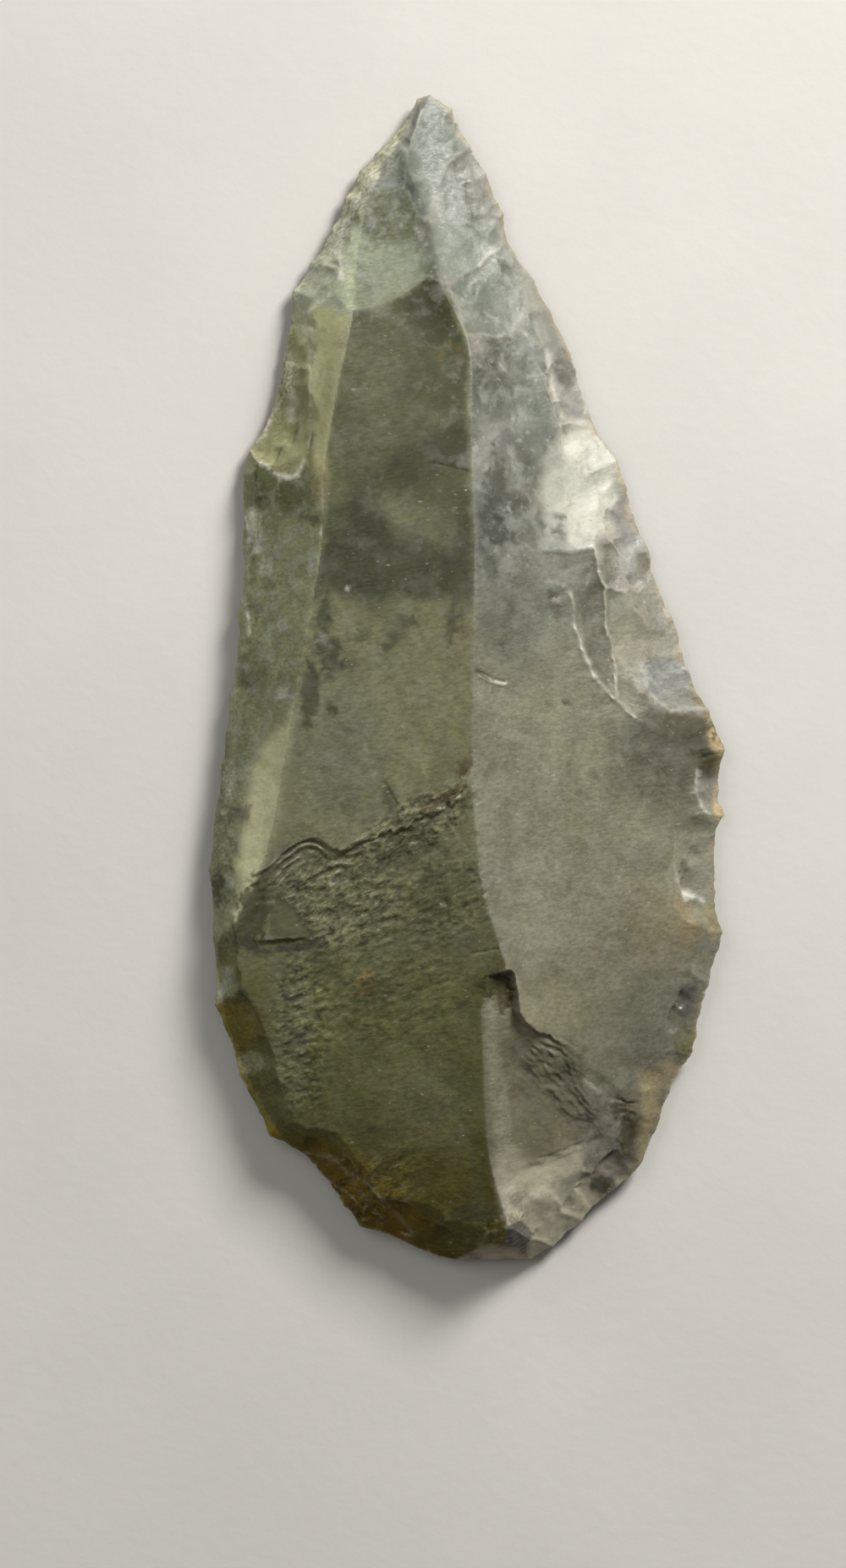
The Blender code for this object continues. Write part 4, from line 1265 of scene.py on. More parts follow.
# Pale lines along rims and lips: across and down of each end, half width in mm, and strength. They
# are partly pale wear and partly painted highlights where rims catch the light, with short painted
# glints.
paleAndLitLines = [
    (675, 700, 678, 742, 0.20, 0.4), (678, 742, 687, 768, 0.26, 0.55),
    (687, 768, 703, 800, 0.28, 0.65), (703, 800, 724, 826, 0.26, 0.6),
    (724, 826, 749, 847, 0.26, 0.6), (713, 700, 716, 742, 0.18, 0.35),
    (716, 742, 724, 780, 0.20, 0.4), (724, 780, 730, 824, 0.20, 0.45),
    (640, 651, 700, 648, 0.16, 0.5), (701, 649, 707, 677, 0.24, 0.65),
    (707, 677, 716, 696, 0.22, 0.6), (716, 696, 737, 701, 0.20, 0.6),
    (614, 394, 646, 414, 0.16, 0.6), (646, 414, 651, 454, 0.24, 1.0),
    (651, 454, 663, 492, 0.22, 1.0), (594, 396, 612, 390, 0.22, 0.5),
    (553, 399, 592, 399, 0.14, 0.4), (578, 299, 598, 280, 0.30, 0.5),
    (296, 530, 310, 547, 0.10, 0.4), (310, 547, 326, 561, 0.12, 0.6),
    (326, 561, 341, 566, 0.13, 0.8), (341, 566, 352, 560, 0.16, 0.9),
    (352, 560, 361, 547, 0.15, 0.9), (361, 547, 366, 525, 0.10, 0.5),
    (336, 462, 321, 500, 0.10, 0.6), (320, 499, 316, 510, 0.14, 1.0),
    (296, 526, 316, 514, 0.14, 0.7), (758, 784, 761, 804, 0.14, 0.6),
    (761, 804, 770, 826, 0.16, 0.6), (770, 826, 793, 840, 0.16, 0.6),
    (793, 838, 838, 838, 0.20, 0.6), (795, 1018, 798, 1040, 0.14, 0.5),
    (798, 1040, 806, 1056, 0.20, 0.8), (806, 1056, 830, 1066, 0.22, 0.9),
    (821, 908, 821, 934, 0.13, 0.6), (821, 934, 830, 959, 0.14, 0.7),
    (830, 959, 838, 964, 0.14, 0.7), (591, 293, 566, 315, 0.17, 0.9),
    (578, 802, 597, 810, 0.15, 1.0), (494, 118, 486, 140, 0.16, 0.5),
    (486, 140, 480, 180, 0.18, 0.3), (480, 180, 477, 225, 0.16, 0.2),
    (477, 225, 498, 259, 0.16, 0.2), (498, 259, 509, 265, 0.24, 0.5),
    (511, 330, 528, 342, 0.14, 0.3), (528, 342, 551, 398, 0.13, 0.3),
    (480, 160, 447, 198, 0.16, 0.7), (447, 198, 425, 235, 0.2, 0.6),
    (425, 235, 404, 280, 0.22, 0.6), (404, 280, 366, 345, 0.18, 0.4),
    (366, 368, 392, 348, 0.2, 0.7), (360, 368, 368, 440, 0.12, 0.4),
    (368, 440, 366, 525, 0.12, 0.4), (556, 172, 524, 200, 0.14, 0.5),
    (553, 215, 556, 256, 0.10, 0.4), (327, 1018, 345, 1000, 0.10, 0.4),
    (345, 1000, 378, 993, 0.10, 0.45), (420, 1002, 446, 990, 0.10, 0.35),
    (392, 1042, 400, 1038, 0.14, 0.9), (360, 1362, 388, 1366, 0.2, 0.15),
    (388, 1366, 442, 1404, 0.22, 0.2), (442, 1404, 488, 1456, 0.22, 0.2),
    (425, 1405, 455, 1440, 0.2, 0.15), (640, 1232, 680, 1262, 0.12, 0.3),
    (690, 1272, 708, 1288, 0.18, 0.5), (343, 424, 347, 496, 0.55, 0.55),
    (399, 288, 404, 330, 0.45, 0.9), (298, 604, 305, 652, 0.40, 0.65),
    (366, 372, 369, 430, 0.30, 0.35), (290, 612, 296, 631, 0.12, 0.9),
    (296, 631, 291, 650, 0.14, 0.9), (308, 605, 309, 640, 0.10, 0.4),
    (309, 640, 296, 661, 0.10, 0.5), (279, 724, 290, 703, 0.14, 0.5),
    (291, 724, 295, 752, 0.18, 0.8), (407, 700, 414, 698, 0.09, 1.0),
    (379, 630, 381, 632, 0.10, 0.9), (443, 917, 447, 919, 0.09, 0.9),
    (433, 884, 437, 886, 0.08, 0.8), (521, 1067, 527, 1070, 0.10, 0.9),
    (307, 755, 309, 757, 0.09, 0.9), (545, 919, 557, 921, 0.09, 0.5),
]
# Dark lines, in the same way: dark cracks, and painted shade in the grooves, under the hinge's
# steps and along the scarp's treads.
darkCrackAndShadeLines = [
    (561, 793, 579, 806, 0.24, 1.0),
    (505, 549, 528, 553, 0.07, 0.5), (528, 553, 556, 562, 0.11, 0.7),
    (402, 1010, 430, 1000, 0.20, 0.5), (330, 1022, 350, 1006, 0.08, 0.5),
    (350, 1006, 398, 1012, 0.08, 0.4), (637, 1366, 688, 1346, 0.12, 0.4),
    (668, 1243, 688, 1262, 0.36, 0.6), (707, 1268, 731, 1294, 0.34, 0.6),
]
# Spots where edges get neither pale wear nor painted highlight: across, down, half length, half
# breadth and lean.
plainRimSpots = [
    (670, 1270, 150, 75, 135), (838, 975, 170, 50, 0), (515, 280, 180, 34, -20),
    (800, 850, 50, 26, 70), (312, 1255, 130, 24, -20), (552, 430, 100, 14, -4),
]
# Spots that hardly shine, in the same way.
dullSpots = [
    (812, 858, 26, 46, 0), (838, 1088, 24, 18, 0), (820, 1018, 16, 24, 0),
    (726, 626, 26, 18, -20), (844, 926, 56, 20, 0), (852, 872, 34, 14, -14),
    (612, 580, 76, 46, 20), (592, 1168, 40, 26, 0), (744, 740, 40, 20, 0),
    (490, 250, 150, 20, -16), (752, 1360, 50, 16, 0),
]
# Spots with less grain, in the same way, with how much less and the softness of the border.
smoothSpots = [
    (600, 420, 360, 110, -10, 0.45, 0.4), (375, 460, 110, 30, 6, 0.85, 0.3),
    (315, 960, 120, 30, 11, 0.7, 0.3), (345, 1090, 40, 34, 0, 0.6, 0.3),
    (600, 1310, 180, 50, -4, 0.5, 0.3), (650, 1420, 64, 70, 0, 0.7, 0.3),
]
# Spots with less mottling, in the same way.
calmSpots = [(690, 575, 74, 40, -16, 1, 0.3), (385, 460, 100, 18, 6, 1, 0.3)]
# How much darker or lighter the stone itself is than it looks, on each side of the ridges.
evening = {"right": 0.95, "centre": 1.0, "left": 1.5}
# How the tones are laid on the stone. A pair gives where an effect starts and is full.
paint = {
    "worked": (-0.15, 0.05),  # facing up
    "toneWander": 0.3, "cloudWander": 0.35, "fineWander": 0.25,
    "belowHinge": (-0.1, 0.5), "scarShades": (0.88, 1.12), "shadeSeed": 7,
    "cloudSoft": 0.5, "cloudVariation": 0.3,
    "patchContrast": 5, "patchMost": 0.12, "patchClip": 0.8,
    "stainSoft": 0.7, "stainFrom": (0.42, 0.68), "stainBorder": (0, 0.3),
    "lineWidth": 0.3, "lineShift": 0.12, "mainLine": 0.55, "leftLine": 0.3,
    "thinDepth": 0.22, "thinGaps": (-0.5, 0.7), "thinShare": 0.75,
    "paleRimFrom": (0.04, 0.26), "plainRimShare": 0.85, "thinPlainRim": 0.6, "hollowFrom": (0.02, 0.12),
    "mottle": {"everywhere": 0.2, "upperRight": 0.65, "tip": 0.7, "left": 0.4, "less": 0.6},
    "upperRight": (610, 520, 160, 74, -8), "leftStrip": (320, 955, 108, 17, 11),
    "grain": {"everywhere": 0.5, "lower": 0.15, "middle": 0.3, "hinged": 0.2, "most": 0.9},
    "awayX": 0.55, "awayY": 0.75, "awayFrom": (0.03, 0.4), "shineLoss": 0.85, "dullSoft": 0.5,
    "tornAt": 0.2, "tornRight": 0.25,
}


# What a tone reflects, as the shader takes it.
def reflected(tone):
    value = np.array(tones[tone]) / 255
    return np.where(value < 0.04045, value / 12.92, ((value + 0.055) / 1.055) ** 2.4)


def blendTo(colour, tone, share):
    return colour + (reflected(tone) - colour) * np.clip(share, 0, 1)[:, None]


# The tone that a long facet has at each point along it.
def alongFacet(y, rows):
    at = -along(column(rows, 0))
    shades = np.array([reflected(row[1]) for row in rows])
    return np.column_stack([np.interp(-y, at, shades[:, channel]) for channel in range(3)])


# How far each point stands out from its neighbours, averaged over them: ridges above nought.
def standOut(mesh, rounds):
    count = len(mesh.vertices)
    points = pointsOf(mesh)
    normals = np.empty(count * 3, np.float32)
    mesh.vertices.foreach_get("normal", normals)
    normals = normals.reshape(-1, 3)
    ends = np.empty(len(mesh.edges) * 2, np.int32)
    mesh.edges.foreach_get("vertices", ends)
    a, b = ends.reshape(-1, 2).T
    step = points[b] - points[a]
    span = np.maximum(np.linalg.norm(step, axis=1), 1e-9)
    number = np.bincount(a, minlength=count) + np.bincount(b, minlength=count)
    atA = -(normals[a] * step).sum(axis=1) / span
    atB = (normals[b] * step).sum(axis=1) / span
    value = np.bincount(a, atA, count) + np.bincount(b, atB, count)
    value = value / np.maximum(number, 1)
    for _ in range(rounds):
        near = np.bincount(a, value[b], count) + np.bincount(b, value[a], count)
        value = 0.5 * value + 0.5 * near / np.maximum(number, 1)
    return value


# 0 at the first place down the picture and 1 at the second.
def comesIn(y, start, end):
    return ramp(y, along(start), along(end))


# The tone that each facet and scar starts from.
def facetColour(x, y, owner):
    wy = wander(x, y, paint["toneWander"])[1]
    wy = wy + 1.5 * uneven(x, y, 2.9, 95) + 0.8 * uneven(x, y, 1.0, 96)
    r = ridges(y)
    rightSide = x > r["main"]
    scar = owner >= longScar
    below = ramp(-overRim(x, y, hingeRim), *paint["belowHinge"])[:, None]
    centre = alongFacet(wy, facetTones["centre"])
    centre = centre + (alongFacet(wy, facetTones["hinged"]) - centre) * below
    colour = np.where(rightSide[:, None], alongFacet(wy, facetTones["right"]), centre)
    onLeft = (owner == leftFacet) | (scar & (x < r["left"]))
    colour = np.where(onLeft[:, None], alongFacet(wy, facetTones["left"]), colour)
    colour = np.where((owner == broadScar)[:, None], alongFacet(wy, facetTones["broad"]), colour)
    upperSide = 0.1 * comesIn(y, 1240, 1150) + 0.9 * comesIn(y, 870, 820)
    for tone, share, side in (
        ("lilac", 0.5, rightSide), ("bone", 0.35, rightSide), ("straw", 0.35, ~rightSide),
    ):
        colour = blendTo(colour, tone, share * (scar & side) * upperSide)
    chance = np.random.default_rng(paint["shadeSeed"])
    shade = chance.uniform(*paint["scarShades"], trimmingScar + len(trimming))
    return colour * np.where(scar, shade[owner], 1)[:, None]


# Places shifted for the clouds and stains.
def cloudPlaces(x, y):
    wx, wy = wander(x, y, paint["cloudWander"])
    much = paint["fineWander"]
    return wx + much * uneven(x, y, 0.8, 81), wy + much * uneven(x, y, 0.8, 82)


# Adds the clouds, the grain of the rough patches, the small scars and the stains, with painted
# shade and shadow among the scars and stains.
def addTones(colour, x, y):
    wx, wy = cloudPlaces(x, y)
    cloudy = 1 + paint["cloudVariation"] * uneven(x, y, 1.1, 83)
    for row in clouds:
        colour = blendTo(colour, row[5], row[6] * cloudy * oval(wx, wy, row, paint["cloudSoft"]))
    for index, row in enumerate(roughPatches):
        rough = np.clip(patchGrain(x, y, index, row), -paint["patchClip"], paint["patchClip"])
        much = paint["patchContrast"] * min(row[8], paint["patchMost"])
        colour = colour * (1 + much * rough * oval(x, y, row))[:, None]
    nearX, nearY = ragged(x, y)
    for tone, share, soft, bowl, drop, corners in flakeScars:
        near, gap = insideScar(nearX, nearY, corners)
        strength = share * ramp(gap, -soft, soft) * (0.8 + 0.2 * cloudy[near])
        colour[near] = blendTo(colour[near], tone, strength)
    broken = layered(x, y, "stainsAndShadows")
    for row in stainsAndShadows:
        inside = oval(wx, wy, row, paint["stainSoft"])
        share = ramp(inside + broken * (1 - 0.5 * inside), *paint["stainFrom"])
        share = share * ramp(inside, *paint["stainBorder"])
        colour = blendTo(colour, row[5], row[6] * share)
    return colour


# Adds the pale lines of the ridges and rims, partly pale wear and partly painted highlight, and the
# dark ones in the cracks, partly painted shade.
def addLines(colour, x, y, r):
    nearX, nearY = ragged(x, y)
    width = paint["lineWidth"]
    patchy = 0.6 + 0.4 * uneven(x, y, 1.9, 93)
    line = np.exp(-(((nearX - r["main"] + paint["lineShift"]) / width) ** 2)) * patchy
    line = line * (0.35 + 0.65 * comesIn(y, 760, 560))
    line = line * comesIn(y, 1110, 980) * comesIn(y, 335, 400)
    colour = blendTo(colour, "straw", paint["mainLine"] * line)
    line = np.exp(-(((nearX - r["left"]) / width) ** 2)) * comesIn(y, 1100, 1000)
    line = line * comesIn(y, 380, 430)
    colour = blendTo(colour, "strip", paint["leftLine"] * line * patchy)
    strength = 0.7 + 0.5 * uneven(x, y, 0.7, 86)
    # The rim tone paints pale wear and highlights, the umber paints cracks and shade.
    for tone, rows in (("rim", paleAndLitLines), ("umber", darkCrackAndShadeLines)):
        for row in rows:
            line = np.exp(-((fromLine(nearX, nearY, *row[:4]) / row[4]) ** 2))
            colour = blendTo(colour, tone, row[5] * line * strength)
    return colour


# 1 where the edge is so thin that light comes through, in places.
def thinEdge(x, y, z):
    thick = np.maximum(z - lowerFace(x, y), 0)
    return np.exp(-thick / paint["thinDepth"]) * ramp(layered(x, y, "thinEdge"), *paint["thinGaps"])


# The lower face's tone.
def underColour(x, y):
    colour = np.tile(reflected("under"), (len(x), 1))
    colour = blendTo(colour, "rightMid", 0.5 + 0.5 * uneven(x, y, 9, 88))
    return blendTo(colour, "centreTop", ramp(uneven(x, y, 5, 89), 0.1, 0.7))


def toneFlint(x, y, z, owner, worked):
    r = ridges(y)
    colour = addTones(facetColour(x, y, owner), x, y)
    colour = addLines(colour, x, y, r)
    side = np.where(x > r["main"], evening["right"], evening["centre"])
    side = np.where((owner == leftFacet) | (x < r["left"]), evening["left"], side)
    colour = colour * side[:, None]
    # Thin edges, most on the lit right and near the tip, are painted pink cream: painted light
    # through the thin stone and a painted warm reflection.
    lit = (ramp(x, 2, 12) + 0.7 * ramp(y, 70, 110)) * (0.35 + 0.65 * comesIn(y, 900, 800))
    share = paint["thinShare"] * thinEdge(x, y, z) * np.clip(0.1 + lit, 0, 1)
    colour = blendTo(colour, "pinkCream", share)
    hidden = underColour(x, y)
    return hidden + (colour - hidden) * worked[:, None]


# Leaning spots added up, each with its own strength and softness.
def spotted(x, y, rows):
    return sum(row[5] * oval(x, y, row, row[6]) for row in rows)


# How mottled and how grainy the stone is.
def mottleAndGrain(x, y, owner):
    r = ridges(y)
    much = paint["mottle"]
    below = ramp(-overRim(*cloudPlaces(x, y), hingeRim), 0, 1) * (x < r["main"])
    leftSide = (owner == leftFacet) * (1 - oval(x, y, paint["leftStrip"]))
    mottle = much["everywhere"] + much["upperRight"] * oval(x, y, paint["upperRight"], 0.5)
    mottle = mottle + much["tip"] * comesIn(y, 420, 300) + much["left"] * leftSide
    mottle = np.clip(mottle, 0, 1) * (1 - much["less"] * below)
    mottle = mottle * (1 - much["less"] * np.clip(spotted(x, y, calmSpots), 0, 1))
    much = paint["grain"]
    grain = much["everywhere"] + much["lower"] * comesIn(y, 600, 900)
    grain = grain + np.where(x < r["main"], much["middle"], 0)
    grain = grain + much["hinged"] * below * (y < along(940))
    grain = grain * (1 - np.clip(spotted(x, y, smoothSpots), 0, much["most"]))
    return mottle, np.clip(grain, 0, 1)


# Ridges are painted pale, partly as wear and partly as painted highlight where edges catch the
# light, and hollows are painted darker and browner.
def paleRidgesAndBrownHollows(mesh, x, y, thin):
    kept = np.zeros(len(x))
    for row in plainRimSpots:
        kept = np.maximum(kept, oval(x, y, row))
    wear = ramp(standOut(mesh, 1), *paint["paleRimFrom"]) * (1 - paint["plainRimShare"] * kept)
    hollowness = ramp(-standOut(mesh, 4), *paint["hollowFrom"])
    return wear * (1 - paint["thinPlainRim"] * thin), hollowness


# Faces turned from the light shine less, and so do the dull spots.
def shineOf(x, y, leanX, leanY):
    away = np.clip(-(paint["awayX"] * leanX + paint["awayY"] * leanY), 0, 1)
    shine = 1 - paint["shineLoss"] * ramp(away, *paint["awayFrom"])
    for row in dullSpots:
        shine = shine * (1 - paint["shineLoss"] * oval(x, y, row, paint["dullSoft"]))
    return shine


# Where the stone broke in lumps: on the rough patches, less on the right and not on the slab.
def tornOf(x, y):
    torn = np.zeros(len(x))
    for row in roughPatches:
        torn = np.maximum(torn, min(1, row[8] / paint["tornAt"]) * oval(x, y, row))
    torn = torn * (1 - ramp(slabHeight(*ragged(x, y)), *finish["slabFrom"]))
    return torn * np.where(x > ridges(y)["main"], paint["tornRight"], 1)


def addAttribute(mesh, name, columns):
    attribute = mesh.color_attributes.new(name, "FLOAT_COLOR", "POINT")
    attribute.data.foreach_set("color", np.column_stack(columns).ravel())


# Gives every point of the stone its tone and shine, how it is torn, and its other marks.
def paintFlint(stone):
    mesh = stone.data
    x, y, z = (pointsOf(mesh) / drawingScales()).T
    normals = np.empty(len(x) * 3, np.float32)
    mesh.vertices.foreach_get("normal", normals)
    leanX, leanY, facing = normals.reshape(-1, 3).T
    owner = trimmedFace(x, y)["owner"]
    colour = toneFlint(x, y, z, owner, ramp(facing, *paint["worked"]))
    wear, hollowness = paleRidgesAndBrownHollows(mesh, x, y, thinEdge(x, y, z))
    mottle, grain = mottleAndGrain(x, y, owner)
    torn = tornOf(x, y)
    addAttribute(mesh, "tint", (colour, shineOf(x, y, leanX, leanY)))
    addAttribute(mesh, "torn", (torn, torn, torn, np.ones(len(x))))
    addAttribute(mesh, "marks", (wear, mottle, hollowness, grain))
    print("flint painted")


surface = {
    "grainStretch": 2.8,
    "grainLean": 0.14,
    "lumpStretch": 2.2,
    "lumpLean": 0.5,
    "mottle": 0.5,
    "mottleRoughness": 0.12,
    "wearRoughness": 0.1,
    "specular": 0.5,
    "bumpBroad": 0.07,
    "bumpLumps": 0.16,
    "bumpFine": 0.03,
    "darkTint": (0.5, 0.5, 0.46, 1),
}
# Noises: size in mm, detail, roughness and distortion.
noises = {
    "cloud": (5.0, 6.0, 0.62, 0.5),
    "grain": (0.34, 3.0, 0.7),
    "lump": (0.42, 4.0, 0.62),
    "mottle": (2.2, 4.0, 0.55, 0.3),
    "blotch": (1.1, 2.0, 0.5),
    "dark": (2.2, 5.0, 0.58, 0.5),
    "swell": (1.3, 4.0, 0.6),
    "table": (40.0, 3.0),
    "tableBump": (1.5, 3.0),
}
# Where an effect starts and is full, and what it comes to at both.
effects = {
    "cloud": (0.3, 0.7, 0.82, 1.18),
    "grain": (0.30, 0.70, -0.25, 0.25),
    "lump": (0.32, 0.68, -0.5, 0.5),
    "glint": (0.62, 0.70, 0.0, 0.5),
    "mottle": (0.46, 0.68),
    "blotch": (0.58, 0.74, 0.0, 0.5),
    "dark": (0.50, 0.74, 0.0, 0.45),
    "wear": (0.3, 0.6, 0.25, 0.7),
    "hollowBrown": (0.4, 0.65, 0.0, 0.5),
    "grainRoughness": (0.3, 0.7, 0.35, 0.54),
    "dullRoughness": (0.0, 1.0, 0.25, 0.0),
    "table": (0.3, 0.7, 0.97, 1.03),
}
# How far noises of the same size are taken from each other's places.
apartBy = {"blotch": 71.0, "dark": 37.0, "specks": 13.7}
# Round specks: tone, distance between them and radius in mm, how many are left out, strength. The
# bright ice specks are painted glints.
specks = [
    ("bone", 0.7, 0.11, 0.25, 0.35), ("slate", 0.8, 0.12, 0.35, 0.4), ("bone", 1.7, 0.16, 0.5, 0.4),
    ("ochre", 2.3, 0.26, 0.50, 0.3), ("ice", 3.0, 0.15, 0.55, 0.9),
]
# Parts of a speck's radius: how much smaller some are, and where its border starts and ends.
speckForm = {"smaller": 0.6, "borderFrom": 0.5, "borderTo": 1.1, "leftSoft": 0.05, "squeeze": 0.5}


def addNode(tree, kind, **settings):
    node = tree.nodes.new(kind)
    for name, value in settings.items():
        if name in node.inputs:
            node.inputs[name].default_value = value
        else:
            setattr(node, name, value)
    return node


def noise(tree, vector, size, detail=4.0, roughness=0.55, distortion=0.0):
    node = addNode(tree, "ShaderNodeTexNoise", Scale=1 / size, Detail=detail)
    node.inputs["Roughness"].default_value = roughness
    node.inputs["Distortion"].default_value = distortion
    tree.links.new(vector, node.inputs["Vector"])
    return node.outputs["Fac"]


def between(tree, value, low, high, least=0.0, most=1.0):
    node = addNode(tree, "ShaderNodeMapRange", interpolation_type="SMOOTHSTEP")
    node.inputs["From Min"].default_value = low
    node.inputs["From Max"].default_value = high
    node.inputs["To Min"].default_value = least
    node.inputs["To Max"].default_value = most
    tree.links.new(value, node.inputs["Value"])
    return node.outputs["Result"]


def effect(tree, value, name):
    return between(tree, value, *effects[name])


def combine(tree, operation, first, second):
    node = addNode(tree, "ShaderNodeMath", operation=operation)
    for socket, value in zip(node.inputs, (first, second)):
        if isinstance(value, (int, float)):
            socket.default_value = value
        else:
            tree.links.new(value, socket)
    return node.outputs["Value"]


def times(tree, first, second):
    return combine(tree, "MULTIPLY", first, second)


def plus(tree, first, second):
    return combine(tree, "ADD", first, second)


def mixed(tree, share, first, second, blend="MIX"):
    node = addNode(tree, "ShaderNodeMix", data_type="RGBA", blend_type=blend)
    for index, value in ((0, share), (6, first), (7, second)):
        if isinstance(value, (int, float, tuple)):
            node.inputs[index].default_value = value
        else:
            tree.links.new(value, node.inputs[index])
    return node.outputs[2]


def scaled(tree, vector, scale, shift=0.0):
    node = addNode(tree, "ShaderNodeMapping", Scale=scale, Location=(shift, shift, 0))
    tree.links.new(vector, node.inputs["Vector"])
    return node.outputs["Vector"]


# Places drawn out along a line that leans from the short axis.
def drawnOut(tree, vector, stretch, lean):
    node = addNode(tree, "ShaderNodeMapping", vector_type="TEXTURE", Scale=(stretch, 1, 1))
    node.inputs["Rotation"].default_value = (0, 0, lean)
    tree.links.new(vector, node.inputs["Vector"])
    return node.outputs["Vector"]


def bumped(tree, height, depth, over=None, strength=1.0):
    node = addNode(tree, "ShaderNodeBump", Strength=strength, Distance=depth * millimetre)
    tree.links.new(height, node.inputs["Height"])
    if over:
        tree.links.new(over, node.inputs["Normal"])
    return node.outputs["Normal"]


def shadeOf(tone):
    return (*reflected(tone), 1)


# A new material with its tree and shader, and the object's own places in millimetres.
def startMaterial(name):
    material = bpy.data.materials.new(name)
    material.use_nodes = True
    tree = material.node_tree
    place = addNode(tree, "ShaderNodeTexCoord").outputs["Object"]
    inMm = scaled(tree, place, (1 / millimetre,) * 3)
    return material, tree, tree.nodes["Principled BSDF"], inMm


def addSpecks(tree, inMm, colour):
    form = speckForm
    for index, (tone, apart, radius, left, much) in enumerate(specks):
        size = radius / apart
        cells = addNode(tree, "ShaderNodeTexVoronoi", Scale=1 / apart)
        place = scaled(tree, inMm, (form["squeeze"], 1, 1), apartBy["specks"] * (index + 1))
        tree.links.new(place, cells.inputs["Vector"])
        chance = addNode(tree, "ShaderNodeSeparateColor")
        tree.links.new(cells.outputs["Color"], chance.inputs["Color"])
        kept = between(tree, chance.outputs[0], left, left + form["leftSoft"])
        larger = times(tree, chance.outputs[1], form["smaller"] * size)
        far = plus(tree, cells.outputs["Distance"], larger)
        spot = between(tree, far, form["borderFrom"] * size, form["borderTo"] * size, much, 0.0)
        colour = mixed(tree, times(tree, kept, spot), colour, shadeOf(tone))
    return colour


def flintMaterial():
    material, tree, shader, inMm = startMaterial("flint")
    tinted = addNode(tree, "ShaderNodeAttribute", attribute_name="tint")
    torn = addNode(tree, "ShaderNodeAttribute", attribute_name="torn").outputs["Fac"]
    marks = addNode(tree, "ShaderNodeAttribute", attribute_name="marks")
    split = addNode(tree, "ShaderNodeSeparateColor")
    tree.links.new(marks.outputs["Color"], split.inputs["Color"])
    wear, mottling, hollowness = split.outputs[:3]

    # Clouds in the stone, its fine grain, drawn out across the long axis, and lumps where it
    # broke unevenly.
    cloudy = effect(tree, noise(tree, inMm, *noises["cloud"]), "cloud")
    grainPlace = drawnOut(tree, inMm, surface["grainStretch"], surface["grainLean"])
    grainRaw = noise(tree, grainPlace, *noises["grain"])
    grain = times(tree, effect(tree, grainRaw, "grain"), marks.outputs["Alpha"])
    lumpPlace = drawnOut(tree, inMm, surface["lumpStretch"], surface["lumpLean"])
    lumpRaw = noise(tree, lumpPlace, *noises["lump"])
    lumps = times(tree, effect(tree, lumpRaw, "lump"), torn)
    tone = times(tree, cloudy, plus(tree, plus(tree, grain, lumps), 1.0))
    colour = mixed(tree, 1.0, tinted.outputs["Color"], tone, "MULTIPLY")
    glint = times(tree, effect(tree, lumpRaw, "glint"), torn)
    colour = mixed(tree, glint, colour, shadeOf("chalk"))

    # Bluish white mottling, darker clouds, and round specks of chalk, ochre and dark, with bright
    # ice specks as painted glints.
    mottleRaw = noise(tree, inMm, *noises["mottle"])
    blotchRaw = noise(tree, scaled(tree, inMm, (1, 1, 1), apartBy["blotch"]), *noises["blotch"])
    mottle = times(tree, effect(tree, mottleRaw, "mottle"), surface["mottle"])
    mottle = plus(tree, mottle, effect(tree, blotchRaw, "blotch"))
    mottle = times(tree, mottle, mottling)
    colour = mixed(tree, mottle, colour, shadeOf("chalk"))
    darkRaw = noise(tree, scaled(tree, inMm, (1, 1, 1), apartBy["dark"]), *noises["dark"])
    darker = mixed(tree, 1.0, colour, surface["darkTint"], "MULTIPLY")
    colour = mixed(tree, effect(tree, darkRaw, "dark"), colour, darker)
    colour = addSpecks(tree, inMm, colour)

    # Ridges go pale, partly wear and partly painted highlight where edges catch the light, and
    # hollows go a little darker and browner.
    wornAndLitRims = times(tree, wear, effect(tree, mottleRaw, "wear"))
    colour = mixed(tree, wornAndLitRims, colour, shadeOf("cream"))
    hollowBrown = times(tree, hollowness, effect(tree, darkRaw, "hollowBrown"))
    colour = mixed(tree, hollowBrown, colour, shadeOf("brown"))
    tree.links.new(colour, shader.inputs["Base Color"])

    rough = effect(tree, grainRaw, "grainRoughness")
    rough = plus(tree, rough, times(tree, mottle, surface["mottleRoughness"]))
    rough = plus(tree, rough, effect(tree, tinted.outputs["Alpha"], "dullRoughness"))
    rough = plus(tree, rough, times(tree, wear, surface["wearRoughness"]))
    tree.links.new(rough, shader.inputs["Roughness"])
    shine = times(tree, tinted.outputs["Alpha"], surface["specular"])
    tree.links.new(shine, shader.inputs["Specular IOR Level"])

    # Fine grain over lumps and a broader unevenness.
    normal = bumped(tree, noise(tree, inMm, *noises["swell"]), surface["bumpBroad"])
    normal = bumped(tree, times(tree, lumpRaw, torn), surface["bumpLumps"], normal)
    normal = bumped(tree, grainRaw, surface["bumpFine"], normal)
    tree.links.new(normal, shader.inputs["Normal"])
    return material


def finishFlint(stone):
    paintFlint(stone)
    stone.data.materials.clear()
    stone.data.materials.append(flintMaterial())
    points = pointsOf(stone.data)
    low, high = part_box(flint["node"])
    middle = (points.min(axis=0) + points.max(axis=0)) / 2
    shift = (
        (low.x + high.x) / 2 - middle[0],
        (low.y + high.y) / 2 - middle[1],
        low.z - points[:, 2].min(),
    )
    setPoints(stone.data, points + shift)
    deselectAll()
    stone.select_set(True)
    bpy.context.view_layer.objects.active = stone
    bpy.ops.object.shade_smooth_by_angle(angle=flint["sharpAngle"])
    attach(stone, "root")
    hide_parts(flint["node"])
    return shift


# The pale table, in metres but for the bump.
table = {
    "size": 3.0, "drop": 0.00003, "colour": (0.74, 0.72, 0.68, 1), "roughness": 0.75,
    "bump": 0.1, "bumpStrength": 0.3,
}


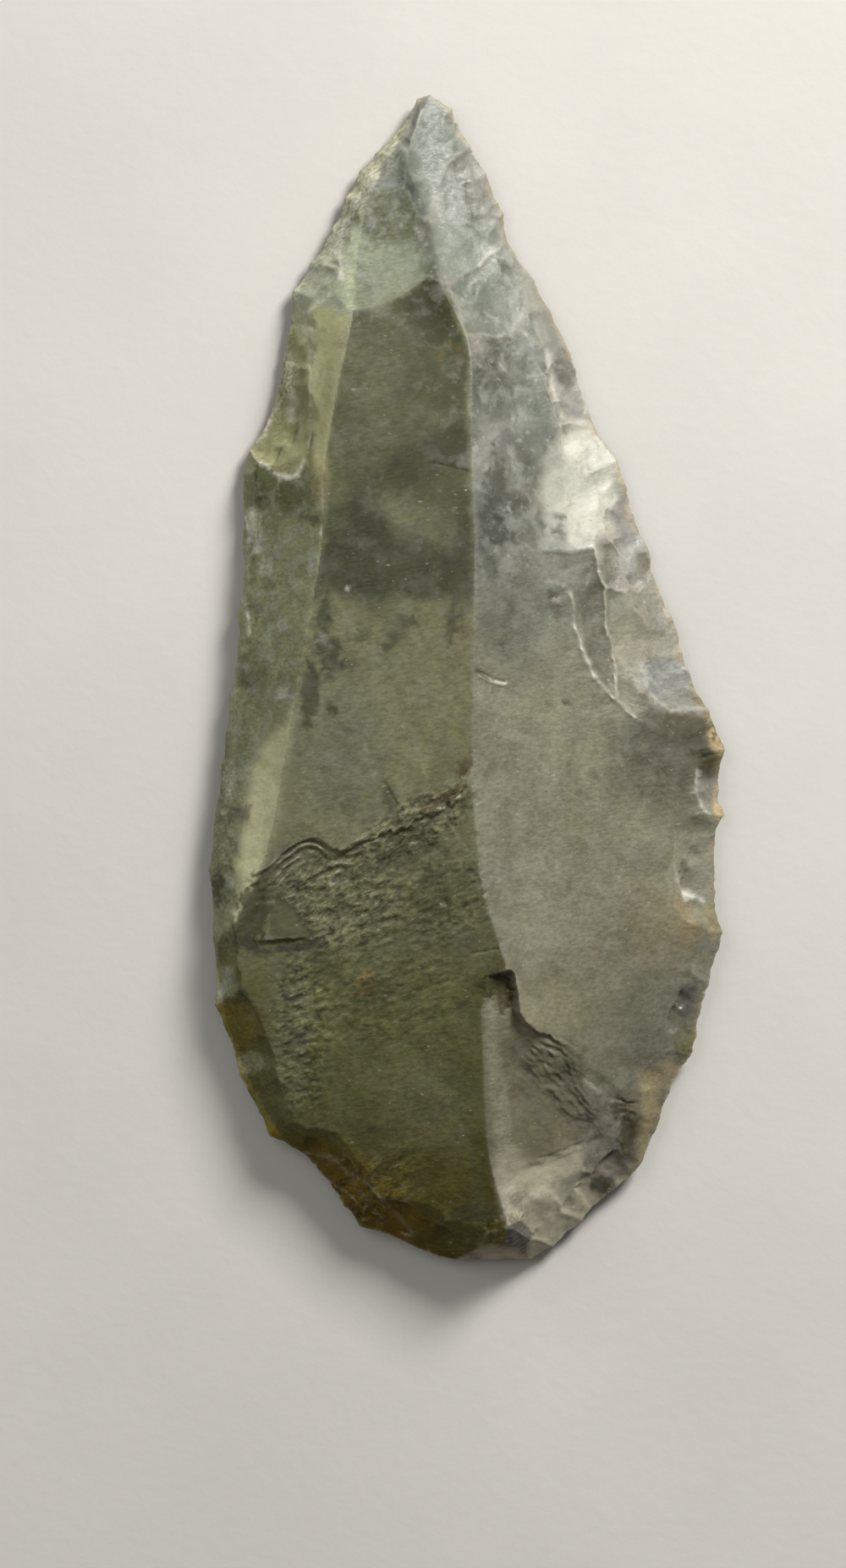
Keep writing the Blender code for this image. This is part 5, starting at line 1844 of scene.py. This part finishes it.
def makeTable():
    deselectAll()
    bpy.ops.mesh.primitive_plane_add(size=table["size"], location=(0, 0, -table["drop"]))
    top = bpy.context.object
    top.name = "paleTable"
    material, tree, shader, inMm = startMaterial("paleTable")
    tone = effect(tree, noise(tree, inMm, *noises["table"]), "table")
    tree.links.new(mixed(tree, 1.0, table["colour"], tone, "MULTIPLY"), shader.inputs["Base Color"])
    shader.inputs["Roughness"].default_value = table["roughness"]
    height = noise(tree, inMm, *noises["tableBump"])
    normal = bumped(tree, height, table["bump"], strength=table["bumpStrength"])
    tree.links.new(normal, shader.inputs["Normal"])
    top.data.materials.append(material)


# Soft lights: direction they shine from, distance and size in metres, power and warmth.
lights = {
    "key": {
        "from": (0.48, 0.66, 0.56), "distance": 0.55, "size": 0.18, "power": 3.6,
        "colour": (1, 0.985, 0.95),
    },
    "fill": {
        "from": (-0.6, 0.35, 0.7), "distance": 1.0, "size": 0.9, "power": 2.4,
        "colour": (1, 0.99, 0.96),
    },
}
world = {"colour": (1.0, 0.99, 0.95, 1), "strength": 0.14}


def makeLights():
    for name, light in lights.items():
        away = np.array(light["from"]) / np.linalg.norm(light["from"])
        deselectAll()
        bpy.ops.object.light_add(type="AREA", location=tuple(away * light["distance"]))
        lamp = bpy.context.object
        lamp.name = name + "Light"
        lamp.rotation_euler = (-Vector(away)).to_track_quat("-Z", "Y").to_euler()
        lamp.data.size = light["size"]
        lamp.data.energy = light["power"]
        lamp.data.color = light["colour"]
    sky = bpy.data.worlds.new("softRoom")
    sky.use_nodes = True
    backdrop = sky.node_tree.nodes["Background"]
    backdrop.inputs["Color"].default_value = world["colour"]
    backdrop.inputs["Strength"].default_value = world["strength"]
    bpy.context.scene.world = sky
    bpy.context.scene.view_settings.view_transform = "Standard"


picture = {"across": 1000, "down": 1853, "lens": 300.0, "sensor": 36.0, "focusHeight": 3.0}


# Looks straight down, so that each place comes out where it is given on the picture.
def makeCamera(shift):
    deselectAll()
    tall = picture["down"] * drawing["unit"] * millimetre
    scales = drawingScales()
    centreX = across(picture["across"] / 2) * scales[0] + shift[0]
    centreY = along(picture["down"] / 2) * scales[1] + shift[1]
    height = tall * picture["lens"] / picture["sensor"] + picture["focusHeight"] * millimetre
    bpy.ops.object.camera_add(location=(centreX, centreY, height), rotation=(0, 0, 0))
    camera = bpy.context.object
    camera.data.lens = picture["lens"]
    camera.data.sensor_width = picture["sensor"]
    bpy.context.scene.camera = camera


stone = makeFlint()
shift = finishFlint(stone)
print("flint finished")
makeTable()
makeLights()
makeCamera(shift)
print("table, light and camera set")
